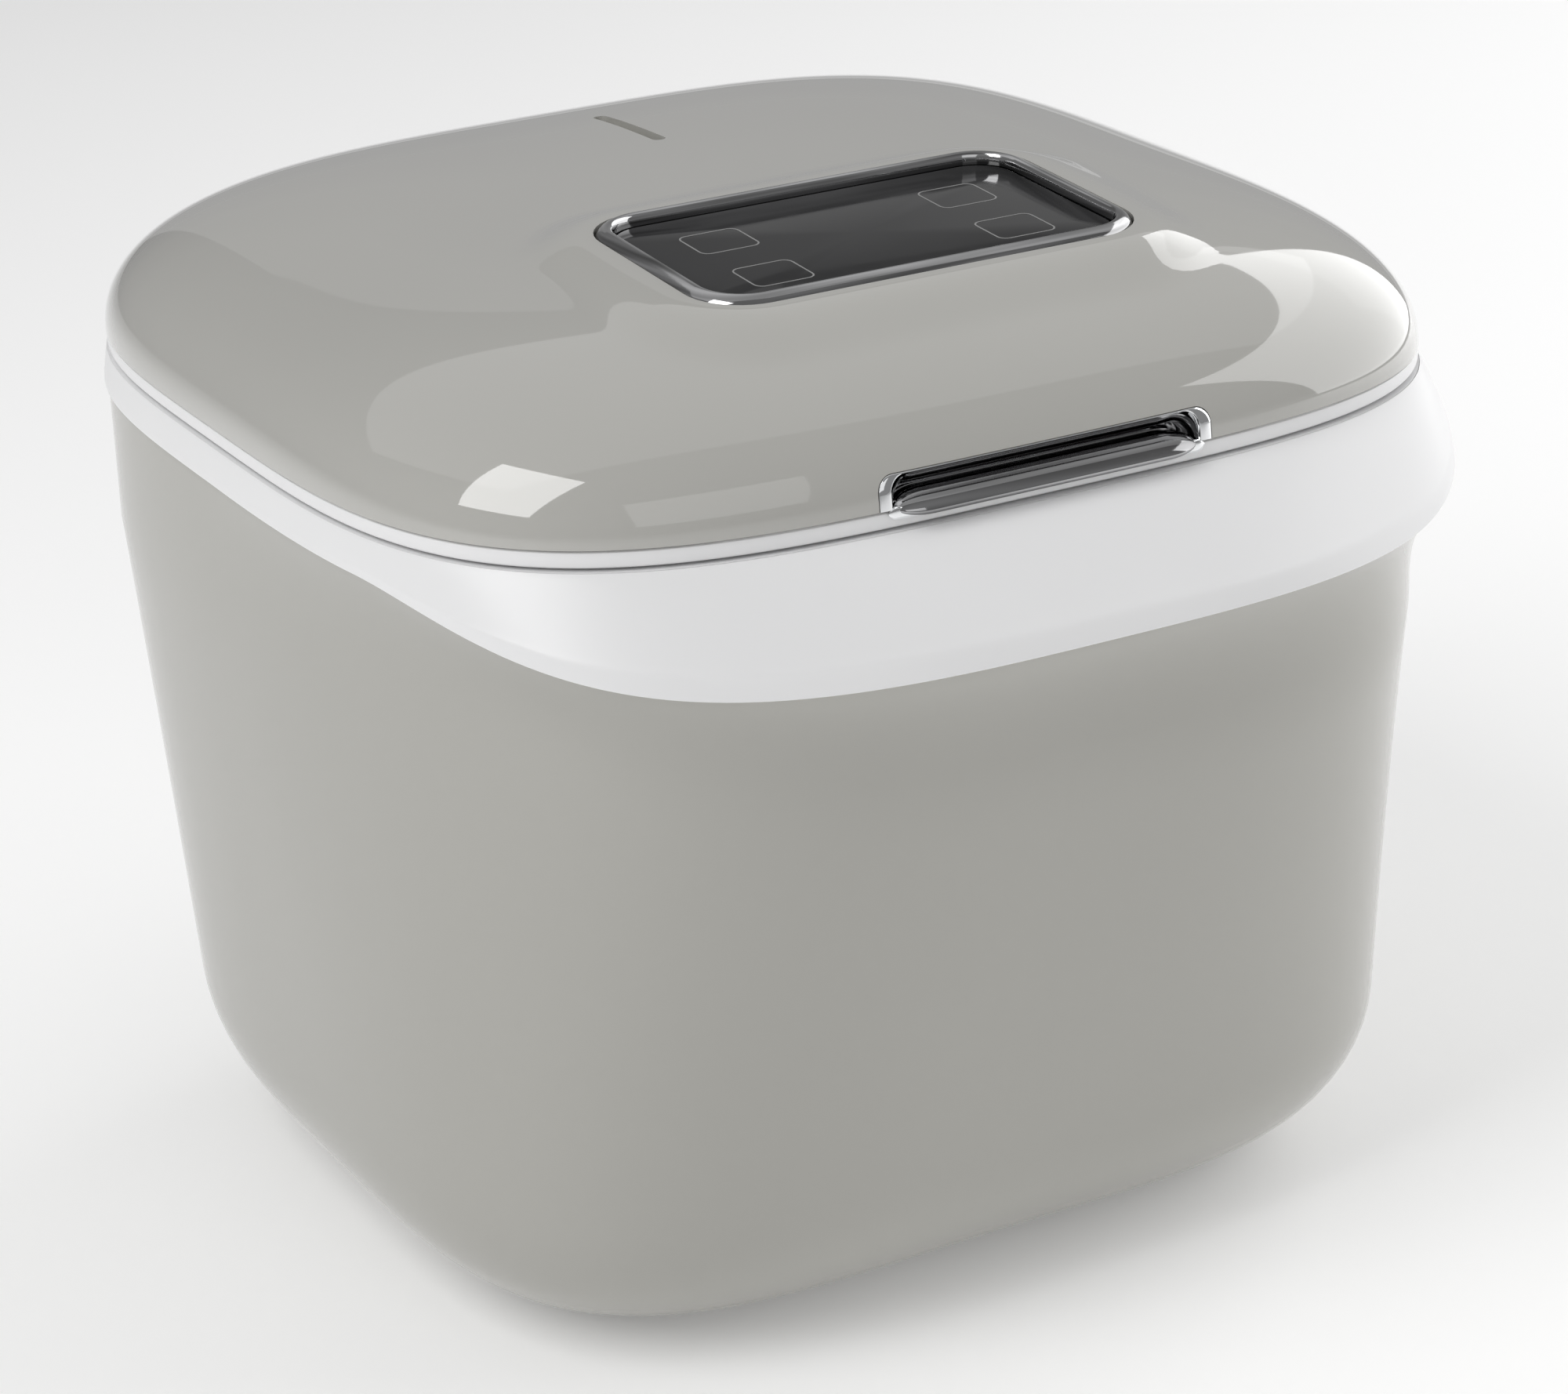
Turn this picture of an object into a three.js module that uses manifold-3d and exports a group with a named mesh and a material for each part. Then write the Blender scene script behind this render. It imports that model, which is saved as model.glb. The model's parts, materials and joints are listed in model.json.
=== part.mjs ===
// Countertop steriliser and dryer box: a tapered tub with a flared white collar and a domed lid
// that opens on two rear hinges. Millimetres, +Z up, front towards -Y, standing on the floor at Z 0.
import * as THREE from "three";
import { mergeVertices } from "three/addons/utils/BufferGeometryUtils.js";
import Module from "manifold-3d";

const wasm = await Module();
wasm.setup();

// ---------- driving dimensions ----------
const LID_HALF = 150; // half width and half depth of the lid's outline
const LID_EXPONENT = 3.68; // superellipse exponent of that outline
const GROOVE_Z = 221.2; // parting line between collar and lid
const RING_HEIGHT = 4.7; // white ring under the dome
const DOME_HEIGHT = 39.9;
const DOME_P = 3.84; // dome profile: (z/h)^Q + rho^P = 1
const DOME_Q = 2.08;
const APRON_FRONT = 178.3; // the collar's front lip, from the lid's centre
const APRON_EXPONENT = 2.95;
const APRON_WIDEN = 0.065; // how much wider the lip gets towards the front corners
const SIDE_OUT = 1.5; // lip outside the lid at the sides and back
const SIDE_BAND = 9.45; // collar height at the sides and back
const FRONT_DROP = 17.3; // extra collar height at the front
const DROP_START = -80; // where the lip starts to drop
const FLARE_IN = 11.4; // the body tucks in below the front lip
const FLARE_HEIGHT = 37.5;
const FLARE_START = 30;
const BASE_HALF_WIDTH = 142.4;
const BASE_FRONT = 132.8;
const BASE_BACK = 125;
const BASE_EXPONENT_FRONT = 3.74;
const BASE_EXPONENT_BACK = 3.5;
const BASE_FILLET = 42.5;
const FLOOR = { halfWidth: 97, front: 87.5, back: 80, exponent: 2.9 }; // outline of the base plate
const FOOT_HEIGHT = 3;
const WALL = 3;
const GAP = 0.3; // running gap between pieces that touch
const CENTRE_Y = 7.925; // moves the lid's centre so that the origin is under the middle of the box
const PANEL = { x: 61.2, y: 37.2, cy: -65.4, r: 15, z: 268.7, rim: 4.6, tilt: THREE.MathUtils.degToRad(3.1) };
const STATUS = { half: 19.3, y: 62.5 }; // the narrow window in the dome behind the panel
const HINGE = { y: 158, z: 223, r: 4.5, pin: 2, x: 60 };
const LIFT_BAR = { y: -136.5, z: 230.5, pin: 1.5, eye: 3, half: 42.4 };
const TUB = { floor: 72, rim: 210.7, skin: 1.2, fillet: 16, halfWidth: 112, back: 96, front: 100 };
const VENT = { count: 9, pitch: 8, half: 1.1, z0: 173, z1: 191 }; // slots high in the tub's back
const BLOWER = { x: -42, y: -8, z0: 9.6, z1: 38 };
const GRILLE = { x: 52, y: -8, halfHole: 22, slots: 9, pitch: 4.6, half: 1.1 }; // warm air inlet
const LOWER_LAMP = { half: 78, y: 54, z: 86 };
const UPPER_LAMP = { half: 82, y: 10, z: 238.6 };
const BASKET = { x: 94, cy: -4, halfY: 80, z0: 102, z1: 168, wire: 3.2, foot: 74 };
const BASKET_ROD = { half: 1.2, apart: 6 }; // rods of the basket, and how close they lie in its floor
const BAIL = { z: 169.6, span: 38, out: 2.4, gripX: 58, half: 1.1 }; // the basket's two handles
const DOOR_AXIS = { y: -14.6, z: 0, r: 1.6 }; // the filter door's barrel, in the frame's own plane
const FILTER_HOLE = { halfX: 43.5, halfY: 19 }; // holes cut in the body's back
const EXHAUST_HOLE = { halfX: 50, halfY: 13 };
const INLET_HOLE = { halfX: 14, halfY: 11 };
const AROUND = 32; // points in each outline

const RING_TOP = GROOVE_Z + RING_HEIGHT;
const BODY_Z = FOOT_HEIGHT;

// ---------- materials ----------
function material(color, roughness, metalness = 0) {
  return new THREE.MeshStandardMaterial({ color, roughness, metalness });
}
const GLOSS_GREY = material(0xa9a89f, 0.15);
const GLOSS_WHITE = material(0xf0f0f0, 0.25);
const DARK_PLASTIC = material(0x3a3a3c, 0.6);
const WHITE_PLASTIC = material(0xe6e6e4, 0.5);
const STEEL = material(0xc8cacc, 0.2, 1);
const CHROME = material(0xe8e8ea, 0.05, 1);
const GLASS_BLACK = material(0x2b2b2d, 0.08);
const QUARTZ = material(0xdfe6ee, 0.05);
const RUBBER = material(0x2a2a2a, 0.8);
const SILICONE = material(0xb9bab8, 0.6);
const BOARD = material(0x1f5a3a, 0.5);
const FOAM = material(0x55585a, 0.95);
const AMBER = material(0x8d8c80, 0.3);
const HEATER = material(0xb58a5a, 0.4, 0.6);

// ---------- solids ----------
function solid(geometry) {
  const bare = geometry.clone();
  bare.deleteAttribute("normal");
  bare.deleteAttribute("uv");
  const merged = mergeVertices(bare, 1e-4);
  return new wasm.Manifold(
    new wasm.Mesh({
      numProp: 3,
      vertProperties: merged.attributes.position.array,
      triVerts: new Uint32Array(merged.index.array),
    }),
  );
}

function geometryOf(made) {
  const mesh = made.getMesh();
  return new THREE.BufferGeometry()
    .setAttribute("position", new THREE.BufferAttribute(mesh.vertProperties, 3))
    .setIndex(new THREE.BufferAttribute(mesh.triVerts, 1));
}

function cut(geometry, ...tools) {
  return geometryOf(tools.reduce((rest, tool) => rest.subtract(solid(tool)), solid(geometry)));
}

function join(...geometries) {
  return geometryOf(geometries.map(solid).reduce((sum, part) => sum.add(part)));
}

function common(a, b) {
  return geometryOf(solid(a).intersect(solid(b)));
}

// A box between two corners.
function box(x0, x1, y0, y1, z0, z1) {
  return new THREE.BoxGeometry(x1 - x0, y1 - y0, z1 - z0).translate(
    (x0 + x1) / 2,
    (y0 + y1) / 2,
    (z0 + z1) / 2,
  );
}

function rodZ(r, x, y, z0, z1, sides = 24) {
  return new THREE.CylinderGeometry(r, r, z1 - z0, sides)
    .rotateX(Math.PI / 2)
    .translate(x, y, (z0 + z1) / 2);
}

function rodX(r, x0, x1, y, z, sides = 20) {
  return new THREE.CylinderGeometry(r, r, x1 - x0, sides)
    .rotateZ(Math.PI / 2)
    .translate((x0 + x1) / 2, y, z);
}

function rodY(r, x, y0, y1, z, sides = 8) {
  return new THREE.CylinderGeometry(r, r, y1 - y0, sides).translate(x, (y0 + y1) / 2, z);
}

// Evenly spaced places about zero.
function barsAcross(count, step) {
  return Array.from({ length: count }, (_, k) => (k - (count - 1) / 2) * step);
}

// A plate with rounded corners in XY, from z0 to z1.
function plate(halfX, halfY, r, z0, z1, cx = 0, cy = 0) {
  const s = new THREE.Shape();
  s.moveTo(-halfX + r, -halfY);
  s.lineTo(halfX - r, -halfY);
  s.absarc(halfX - r, -halfY + r, r, -Math.PI / 2, 0);
  s.absarc(halfX - r, halfY - r, r, 0, Math.PI / 2);
  s.absarc(-halfX + r, halfY - r, r, Math.PI / 2, Math.PI);
  s.absarc(-halfX + r, -halfY + r, r, Math.PI, 1.5 * Math.PI);
  return new THREE.ExtrudeGeometry(s, { depth: z1 - z0, bevelEnabled: false, curveSegments: 3 })
    .translate(cx, cy, z0);
}

// A profile in the YZ plane, given as [y, z] points, extruded from x0 to x1.
function profileX(points, x0, x1) {
  const s = new THREE.Shape(points.map(([y, z]) => new THREE.Vector2(y, z)));
  return new THREE.ExtrudeGeometry(s, { depth: x1 - x0, bevelEnabled: false })
    .rotateY(Math.PI / 2)
    .rotateX(Math.PI / 2)
    .translate(x0, 0, 0);
}

// ---------- outlines, as radius against angle round the lid's centre ----------
function superellipse(angle, a, b, n) {
  const c = Math.abs(Math.cos(angle)) / a;
  const s = Math.abs(Math.sin(angle)) / b;
  return (c ** n + s ** n) ** (-1 / n);
}

function smooth(t) {
  const k = Math.min(1, Math.max(0, t));
  return k * k * (3 - 2 * k);
}

function lidRadius(angle) {
  return superellipse(angle, LID_HALF, LID_HALF, LID_EXPONENT);
}

function lipRadius(angle) {
  if (Math.sin(angle) >= 0) return lidRadius(angle) + SIDE_OUT;
  const frontness = -Math.sin(angle);
  let r = superellipse(angle, LID_HALF, APRON_FRONT, APRON_EXPONENT);
  for (let pass = 0; pass < 4; pass++) {
    const widened = LID_HALF * (1 + APRON_WIDEN * ((r * frontness) / APRON_FRONT) ** 1.5);
    r = superellipse(angle, widened, APRON_FRONT, APRON_EXPONENT);
  }
  return r + SIDE_OUT * (1 - smooth(frontness * 2));
}

function lipZ(angle) {
  const y = lipRadius(angle) * Math.sin(angle);
  return GROOVE_Z - SIDE_BAND - FRONT_DROP * smooth((DROP_START - y) / (DROP_START + APRON_FRONT));
}

function flare(angle) {
  const y = lipRadius(angle) * Math.sin(angle);
  return FLARE_IN * smooth((FLARE_START - y) / (APRON_FRONT + FLARE_START));
}

function baseRadius(angle) {
  const back = Math.sin(angle) >= 0;
  return superellipse(
    angle,
    BASE_HALF_WIDTH,
    back ? BASE_BACK : BASE_FRONT,
    back ? BASE_EXPONENT_BACK : BASE_EXPONENT_FRONT,
  );
}

function floorRadius(angle) {
  return superellipse(angle, FLOOR.halfWidth, Math.sin(angle) < 0 ? FLOOR.front : FLOOR.back, FLOOR.exponent);
}

// Radius of the body's outer face at a height, above its bottom fillet.
function bodyRadius(angle, z) {
  const top = lipZ(angle) - GAP;
  const tuck = flare(angle);
  const depth = Math.min(1, Math.max(0, (top - z) / FLARE_HEIGHT));
  const topRadius = lipRadius(angle) - 1;
  const flareEnd = top - FLARE_HEIGHT;
  if (z >= flareEnd) return topRadius - tuck * (1 - (1 - depth) ** 3);
  const share = (flareEnd - z) / (flareEnd - BODY_Z);
  return topRadius - tuck + (baseRadius(angle) - topRadius + tuck) * share;
}

// The body's back face at a place, by walking out along Y.
function bodyBackY(x, z) {
  let y = 0;
  while (Math.hypot(x, y) < bodyRadius(Math.atan2(y, x), z)) y += 0.05;
  return y;
}

// Height of the dome above a point, with the fairing round the panel.
function domeZ(x, y, inset = 0) {
  const angle = Math.atan2(y, x);
  const rho = Math.min(1, Math.hypot(x, y) / (lidRadius(angle) - inset));
  const plain = RING_TOP + (DOME_HEIGHT - inset) * (1 - rho ** DOME_P) ** (1 / DOME_Q);
  const dx = Math.max(0, Math.abs(x) - PANEL.x + PANEL.r);
  const dy = Math.max(0, Math.abs(y - PANEL.cy) - PANEL.y + PANEL.r);
  const outside = Math.max(0, Math.hypot(dx, dy) - PANEL.r);
  const fairing = PANEL.z + (y - PANEL.cy) * Math.tan(PANEL.tilt) - 1.5 - inset;
  return plain + (fairing - plain) * (1 - smooth(outside / 22));
}

// ---------- lofts ----------
// Closed surface through rings of points, each a function of the angle that gives [radius, z].
// With ends "ring" the last ring joins the first; with "poles" each end closes on a point.
function loft(rings, ends = "ring", poleZ = null) {
  const n = AROUND;
  const position = [];
  const index = [];
  for (const ring of rings)
    for (let i = 0; i < n; i++) {
      const angle = (i / n) * 2 * Math.PI;
      const [r, z] = ring(angle);
      position.push(r * Math.cos(angle), r * Math.sin(angle), z);
    }
  const quads = ends === "ring" ? rings.length : rings.length - 1;
  for (let k = 0; k < quads; k++)
    for (let i = 0; i < n; i++) {
      const a = k * n + i;
      const b = k * n + ((i + 1) % n);
      const c = ((k + 1) % rings.length) * n + i;
      const d = ((k + 1) % rings.length) * n + ((i + 1) % n);
      index.push(a, c, b, b, c, d);
    }
  if (ends === "poles") {
    const last = (rings.length - 1) * n;
    const first = position.length / 3;
    position.push(0, 0, poleZ[0], 0, 0, poleZ[1]);
    for (let i = 0; i < n; i++) {
      const j = (i + 1) % n;
      index.push(first, i, j, first + 1, last + j, last + i);
    }
  }
  const made = new THREE.BufferGeometry();
  made.setAttribute("position", new THREE.Float32BufferAttribute(position, 3));
  made.setIndex(signedVolume(position, index) > 0 ? index : reversed(index));
  return made;
}

function signedVolume(position, index) {
  let sum = 0;
  for (let i = 0; i < index.length; i += 3) {
    const [a, b, c] = [0, 1, 2].map((k) => new THREE.Vector3().fromArray(position, 3 * index[i + k]));
    sum += a.dot(b.cross(c)) / 6;
  }
  return sum;
}

function reversed(index) {
  const made = [];
  for (let i = 0; i < index.length; i += 3) made.push(index[i], index[i + 2], index[i + 1]);
  return made;
}

// ---------- the housing ----------
// Rings down the body's outside, moved in by an offset, from the collar to the floor.
function bodyRings(offset, flareSteps, filletTurns) {
  return [
    ...flareSteps.map((k) => (t) => {
      const z = lipZ(t) - GAP - k * FLARE_HEIGHT;
      return [bodyRadius(t, z) - offset, z];
    }),
    ...filletTurns.map(THREE.MathUtils.degToRad).map((turn) => (t) => {
      const z = BODY_Z + BASE_FILLET - (BASE_FILLET - offset) * Math.cos(turn);
      return [bodyRadius(t, z) - BASE_FILLET + (BASE_FILLET - offset) * Math.sin(turn), z];
    }),
  ];
}

function bodyShell() {
  const ledge = BODY_Z + WALL + GAP;
  const rings = [
    ...bodyRings(0, [0, 0.15, 0.45, 1], [90, 60, 30, 0]),
    (t) => [floorRadius(t), BODY_Z],
    (t) => [floorRadius(t), ledge],
    (t) => [floorRadius(t) - 12, ledge],
    (t) => [floorRadius(t) - 12, ledge + WALL],
    ...bodyRings(WALL, [0, 0.45, 1], [90, 55, 25]).reverse(),
  ];
  const hole = ({ halfX, halfY }, place) => onBack(box(-halfX, halfX, -halfY, halfY, -20, 10), place);
  return cut(
    loft(rings),
    ...screwPlaces().map(([x, y]) => rodZ(1.5, x, y, 4, 14, 8)),
    hole(FILTER_HOLE, FILTER),
    hole(EXHAUST_HOLE, EXHAUST),
    hole(INLET_HOLE, INLET),
  );
}

// The body as a full solid, a running gap larger all round, for cutting pieces that sit against it.
function bodyBlank() {
  return loft(bodyRings(-GAP, [0, 0.15, 0.45, 1], [90, 60, 30]), "poles", [212, BODY_Z]);
}

function screwPlaces() {
  return [30, 150, 210, 330].map(THREE.MathUtils.degToRad).map((t) => {
    const r = floorRadius(t) - 7;
    return [r * Math.cos(t), r * Math.sin(t)];
  });
}

function basePlate() {
  const edge = (t) => floorRadius(t) - GAP;
  const faces = [BODY_Z, BODY_Z + WALL];
  const flat = loft(faces.map((z) => (t) => [edge(t), z]), "poles", faces);
  const slots = barsAcross(9, 5).map((k) => box(-17, 17, k - 1.3, k + 1.3, 0, 8));
  slots.forEach((slot) => slot.translate(BLOWER.x, BLOWER.y, 0));
  const holes = screwPlaces().flatMap(([x, y]) => [rodZ(1.8, x, y, 2, 8, 8), rodZ(3.5, x, y, 2, 4.6, 12)]);
  return cut(flat, ...slots, ...holes);
}

function baseScrew() {
  return join(rodZ(3.1, 0, 0, 0.2, 1.3, 12), rodZ(1.1, 0, 0, 1, 6, 8));
}

function foot() {
  return new THREE.CylinderGeometry(9, 8, FOOT_HEIGHT - GAP, 16)
    .rotateX(Math.PI / 2)
    .translate(0, 0, (FOOT_HEIGHT - GAP) / 2);
}

// Section of the collar, from the lip's foot up the apron, across the top and back inside.
function collar() {
  const apron = [
    [1, 1],
    [0.965, 0.87],
    [0.9, 0.78],
    [0.62, 0.48],
    [0.3, 0.2],
    [0, 0],
  ];
  const top = GROOVE_Z - GAP;
  const point = (o, d, inset) => (t) => {
    const start = lidRadius(t) - inset;
    const end = lipRadius(t) - inset * (0.75 + 0.25 * smooth(flare(t) / FLARE_IN));
    return [start + (end - start) * o, top - inset + (lipZ(t) - top + inset) * d];
  };
  const inner = (inset, z) => (t) => [lidRadius(t) - inset, z];
  const rings = [
    ...apron.map(([o, d]) => point(o, d, 0)),
    inner(15.6, top),
    inner(16, 217.8),
    inner(22.4, 217.8),
    inner(22.8, top),
    inner(25, top),
    inner(25, 212),
    inner(22.6, 212),
    inner(21, 214.8),
    inner(4.6, 214.8),
    point(0.62, 0.5, 3),
    point(1, 1, 3),
  ];
  return loft(rings);
}

function chamberSeal() {
  const ring = [
    [16.4, 218.1],
    [16.9, 221.2],
    [21.5, 221.2],
    [22, 218.1],
  ];
  return loft(ring.map(([inset, z]) => (t) => [lidRadius(t) - inset, z]));
}

// The stamped steel tub. Its wall leans in from the rim to the floor.
function tubRadius(t, z) {
  const rim = lidRadius(t) - 26;
  const floor = superellipse(t, TUB.halfWidth, Math.sin(t) >= 0 ? TUB.back : TUB.front, 3.4);
  return rim + (floor - rim) * ((TUB.rim - z) / (TUB.rim - TUB.floor));
}

// Rings up the fillet between the tub's floor and wall, moved in by an offset.
function tubFillet(offset) {
  const { floor, fillet } = TUB;
  const r = fillet - offset;
  return [0, 30, 60, 90].map(THREE.MathUtils.degToRad).map((turn) => (t) => [
    tubRadius(t, floor + fillet) - fillet + r * Math.sin(turn),
    floor + fillet - r * Math.cos(turn),
  ]);
}

function chamberLiner() {
  const { floor, rim, skin } = TUB;
  const flangeEdge = (t) => lidRadius(t) - 17;
  const rings = [
    ...tubFillet(0),
    (t) => [tubRadius(t, rim), rim],
    (t) => [flangeEdge(t), rim],
    (t) => [flangeEdge(t), rim + 1],
    (t) => [tubRadius(t, rim) - skin, rim + 1],
    ...tubFillet(skin).reverse(),
  ];
  const tub = loft(rings, "poles", [floor, floor + skin]);
  const vents = barsAcross(VENT.count, VENT.pitch).map((x) =>
    box(x - VENT.half, x + VENT.half, 90, 150, VENT.z0, VENT.z1),
  );
  const { x, y, halfHole } = GRILLE;
  const outlet = box(x - halfHole, x + halfHole, y - halfHole, y + halfHole, 60, 80);
  return cut(tub, ...vents, outlet);
}

function floorGrille() {
  const { x, y, halfHole, slots, pitch, half } = GRILLE;
  const cuts = barsAcross(slots, pitch).map((k) => box(x - 20, x + 20, y + k - half, y + k + half, 70, 80));
  const z = TUB.floor + TUB.skin + 0.4;
  return cut(plate(halfHole + 3, halfHole + 4, 4, z, z + 2, x, y), ...cuts);
}

// ---------- air and heat ----------
function blowerHousing() {
  const { x, y, z0, z1 } = BLOWER;
  const outside = join(rodZ(43, x, y, z0, z1, 36), box(x, x + 52, y - 42, y - 10, z0, z1));
  return cut(
    outside,
    rodZ(40.5, x, y, z0 + 2, z1 - 2, 36),
    box(x, x + 60, y - 40, y - 12, z0 + 2, z1 - 2),
    rodZ(25, x, y, z0 - 5, z0 + 5, 28),
    rodZ(2.6, x, y, z1 - 5, z1 + 5, 12),
  );
}

function fanImpeller() {
  const { x, y, z0, z1 } = BLOWER;
  const top = z1 - 4;
  const blades = [];
  const count = 15;
  for (let k = 0; k < count; k++) {
    blades.push(
      box(26, 37, -0.7, 0.7, z0 + 6, top - 1)
        .rotateZ((k / count) * 2 * Math.PI)
        .translate(x, y, 0),
    );
  }
  return cut(
    join(rodZ(37.5, x, y, top - 2, top, 30), rodZ(7, x, y, top - 14, top, 16), ...blades),
    rodZ(1.8, x, y, 0, 60, 12),
  );
}

function blowerMotor() {
  const { x, y, z1 } = BLOWER;
  const ears = box(x - 22, x + 22, y - 4, y + 4, z1 + GAP, z1 + 3);
  const can = join(rodZ(16, x, y, z1 + GAP, z1 + 14, 24), ears);
  return cut(can, rodZ(1.9, x, y, z1 - 2, z1 + 10, 12));
}

function heaterDuct() {
  const outside = join(box(10.6, 84, -56, -12, 9.6, 38), box(24, 80, -34, 18, 30, 71));
  return cut(
    outside,
    box(0, 82, -54, -14, 11.6, 36),
    box(26, 78, -32, 16, 31, 80),
    box(26, 78, -32, -14, 30, 40),
  );
}

function heaterCore() {
  const made = box(20, 46, -52, -16, 13, 29.6);
  const fins = [];
  for (let k = 0; k < 7; k++) fins.push(box(10, 56, -49.5 + k * 4.6, -47 + k * 4.6, 15, 27.6));
  return cut(made, ...fins);
}

function mainBoard() {
  return join(
    box(-20, 62, 44, 88, 16, 17.6),
    rodZ(7, -6, 58, 17, 36, 16),
    box(12, 34, 52, 74, 17, 33),
    box(42, 56, 50, 60, 17, 25),
    box(40, 58, 70, 84, 17, 28),
  );
}

// Pieces set in the back wall are drawn flat, facing +Z with +Y upwards, and stood against the wall.
function onBack(geometry, place) {
  return geometry
    .rotateX(-Math.PI / 2)
    .rotateY(Math.PI)
    .rotateX(-place.lean)
    .translate(place.x, place.y, place.z);
}

function backPlace(x, z) {
  const lean = Math.atan2(bodyBackY(x, z + 8) - bodyBackY(x, z - 8), 16);
  return { x, z, y: bodyBackY(x, z), lean };
}

const FILTER = backPlace(0, 66);
const EXHAUST = backPlace(0, 176);
const INLET = backPlace(76, 60);

// A flange that follows the wall behind it.
function backFlange(halfX, halfY, place) {
  return cut(onBack(plate(halfX, halfY, 4, -6, 2.6), place), bodyBlank());
}

function filterFrame() {
  const neck = onBack(plate(43, 18.5, 3, -12, 1), FILTER);
  const made = join(backFlange(46, 21.5, FILTER), neck);
  const openings = [
    plate(41.2, 16.7, 2, -2, 6),
    plate(38, 13.6, 2, -20, 6),
    box(-41.2, 41.2, -18, -11, -2.2, 6),
  ];
  return cut(made, ...openings.map((opening) => onBack(opening, FILTER)));
}

function airFilter() {
  const pleats = barsAcross(17, 4.2).map((x) => box(x - 0.8, x + 0.8, -12, 12, -6.6, 0));
  return onBack(cut(plate(37.6, 13.2, 1.5, -10.5, -4), ...pleats), FILTER);
}

// The door turns on a barrel along its lower edge.
function filterDoor() {
  const leaf = box(-40.6, 40.6, DOOR_AXIS.y, 15.9, -1.4, 1.4);
  const barrel = rodX(DOOR_AXIS.r, -40.6, 40.6, DOOR_AXIS.y, DOOR_AXIS.z, 12);
  const slots = barsAcross(11, 6.4).map((x) => box(x - 1.5, x + 1.5, -9, 11, -4, 4));
  return onBack(cut(join(leaf, barrel), ...slots), FILTER);
}

function exhaustGrille() {
  const made = join(backFlange(53, 16, EXHAUST), onBack(plate(49.5, 12.5, 3, -6, 1), EXHAUST));
  const slots = barsAcross(13, 7).map((x) => box(x - 2, x + 2, -9.5, 9.5, -20, 20));
  const hollow = box(-46, 46, -10, 10, -9, -1);
  return cut(made, ...[...slots, hollow].map((opening) => onBack(opening, EXHAUST)));
}

function powerInlet() {
  const made = join(backFlange(17, 14, INLET), onBack(plate(13.5, 10.5, 3, -18, 1), INLET));
  const socket = join(plate(9.5, 4.6, 4.5, -12, 8), box(-2, 2, -4, 4, -12, 8));
  const pins = [-4.3, 4.3].map((x) => onBack(rodZ(1.2, x, 0, -14, -3, 8), INLET));
  return join(cut(made, onBack(socket, INLET)), ...pins);
}

// ---------- lamps ----------
function lampTube(halfLength, y, z) {
  const r = 7.6;
  const capLength = 9;
  return join(
    rodX(r, -halfLength + capLength, halfLength - capLength, y, z, 16),
    rodX(r + 0.6, -halfLength, -halfLength + capLength + 0.2, y, z, 16),
    rodX(r + 0.6, halfLength - capLength - 0.2, halfLength, y, z, 16),
  );
}

// A socket with a round seat that holds one end of a lamp.
function lampSocket(side, halfLength, y, z, z0, z1) {
  const x0 = halfLength - 6;
  const x1 = halfLength + 6;
  const block = side > 0 ? box(x0, x1, y - 11, y + 11, z0, z1) : box(-x1, -x0, y - 11, y + 11, z0, z1);
  const seat = side > 0
    ? rodX(8.6, x0 - 1, halfLength + GAP, y, z, 20)
    : rodX(8.6, -halfLength - GAP, -x0 + 1, y, z, 20);
  return cut(block, seat);
}

// A channel over the lamp, from its base to its grid, with windows cut through all three faces.
function lampGuard(halfLength, y, baseZ, gridZ) {
  const sheet = 2;
  const up = Math.sign(gridZ - baseZ);
  const pitch = (2 * halfLength - sheet) / 6;
  const slab = (half, reach, from, to) =>
    box(-half, half, y - reach, y + reach, Math.min(from, to), Math.max(from, to));
  const channel = cut(
    slab(halfLength, 13, baseZ, gridZ),
    slab(halfLength + 1, 11, baseZ - up, gridZ - up * sheet),
  );
  const windows = barsAcross(6, pitch).flatMap((x) => [
    slab(pitch / 2 - 1, 10, gridZ - up * 5, gridZ + up).translate(x, 0, 0),
    slab(pitch / 2 - 1, 20, baseZ + up * sheet, gridZ - up * 4).translate(x, 0, 0),
  ]);
  return cut(channel, ...windows);
}

// ---------- the basket ----------
function basketRing(z) {
  const { x, halfY, cy, wire } = BASKET;
  return cut(
    plate(x, halfY, 22, z, z + wire, 0, cy),
    plate(x - wire, halfY - wire, 19, z - 1, z + wire + 1, 0, cy),
  );
}

// The basket's floor: close-set rods along Y, held by two cross rods and a border.
function basketFloor() {
  const { x, cy, halfY, z0 } = BASKET;
  const { half, apart } = BASKET_ROD;
  const slotHalf = apart / 2 - half;
  const floor = plate(x - 1, halfY - 1, 21, z0 + 0.3, z0 + 2 * half, 0, cy);
  const slots = barsAcross(28, apart).flatMap((bx) =>
    barsAcross(3, 46).map((by) =>
      box(bx - slotHalf, bx + slotHalf, cy + by - 21, cy + by + 21, z0 - 1, z0 + 5),
    ),
  );
  return cut(floor, ...slots);
}

// An upright rod in the basket's wall, square in section, from its floor to its rim.
function basketPost(x, y) {
  const w = BASKET_ROD.half;
  return box(x - w, x + w, y - w, y + w, BASKET.z0, BASKET.z1 - 0.2);
}

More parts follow.
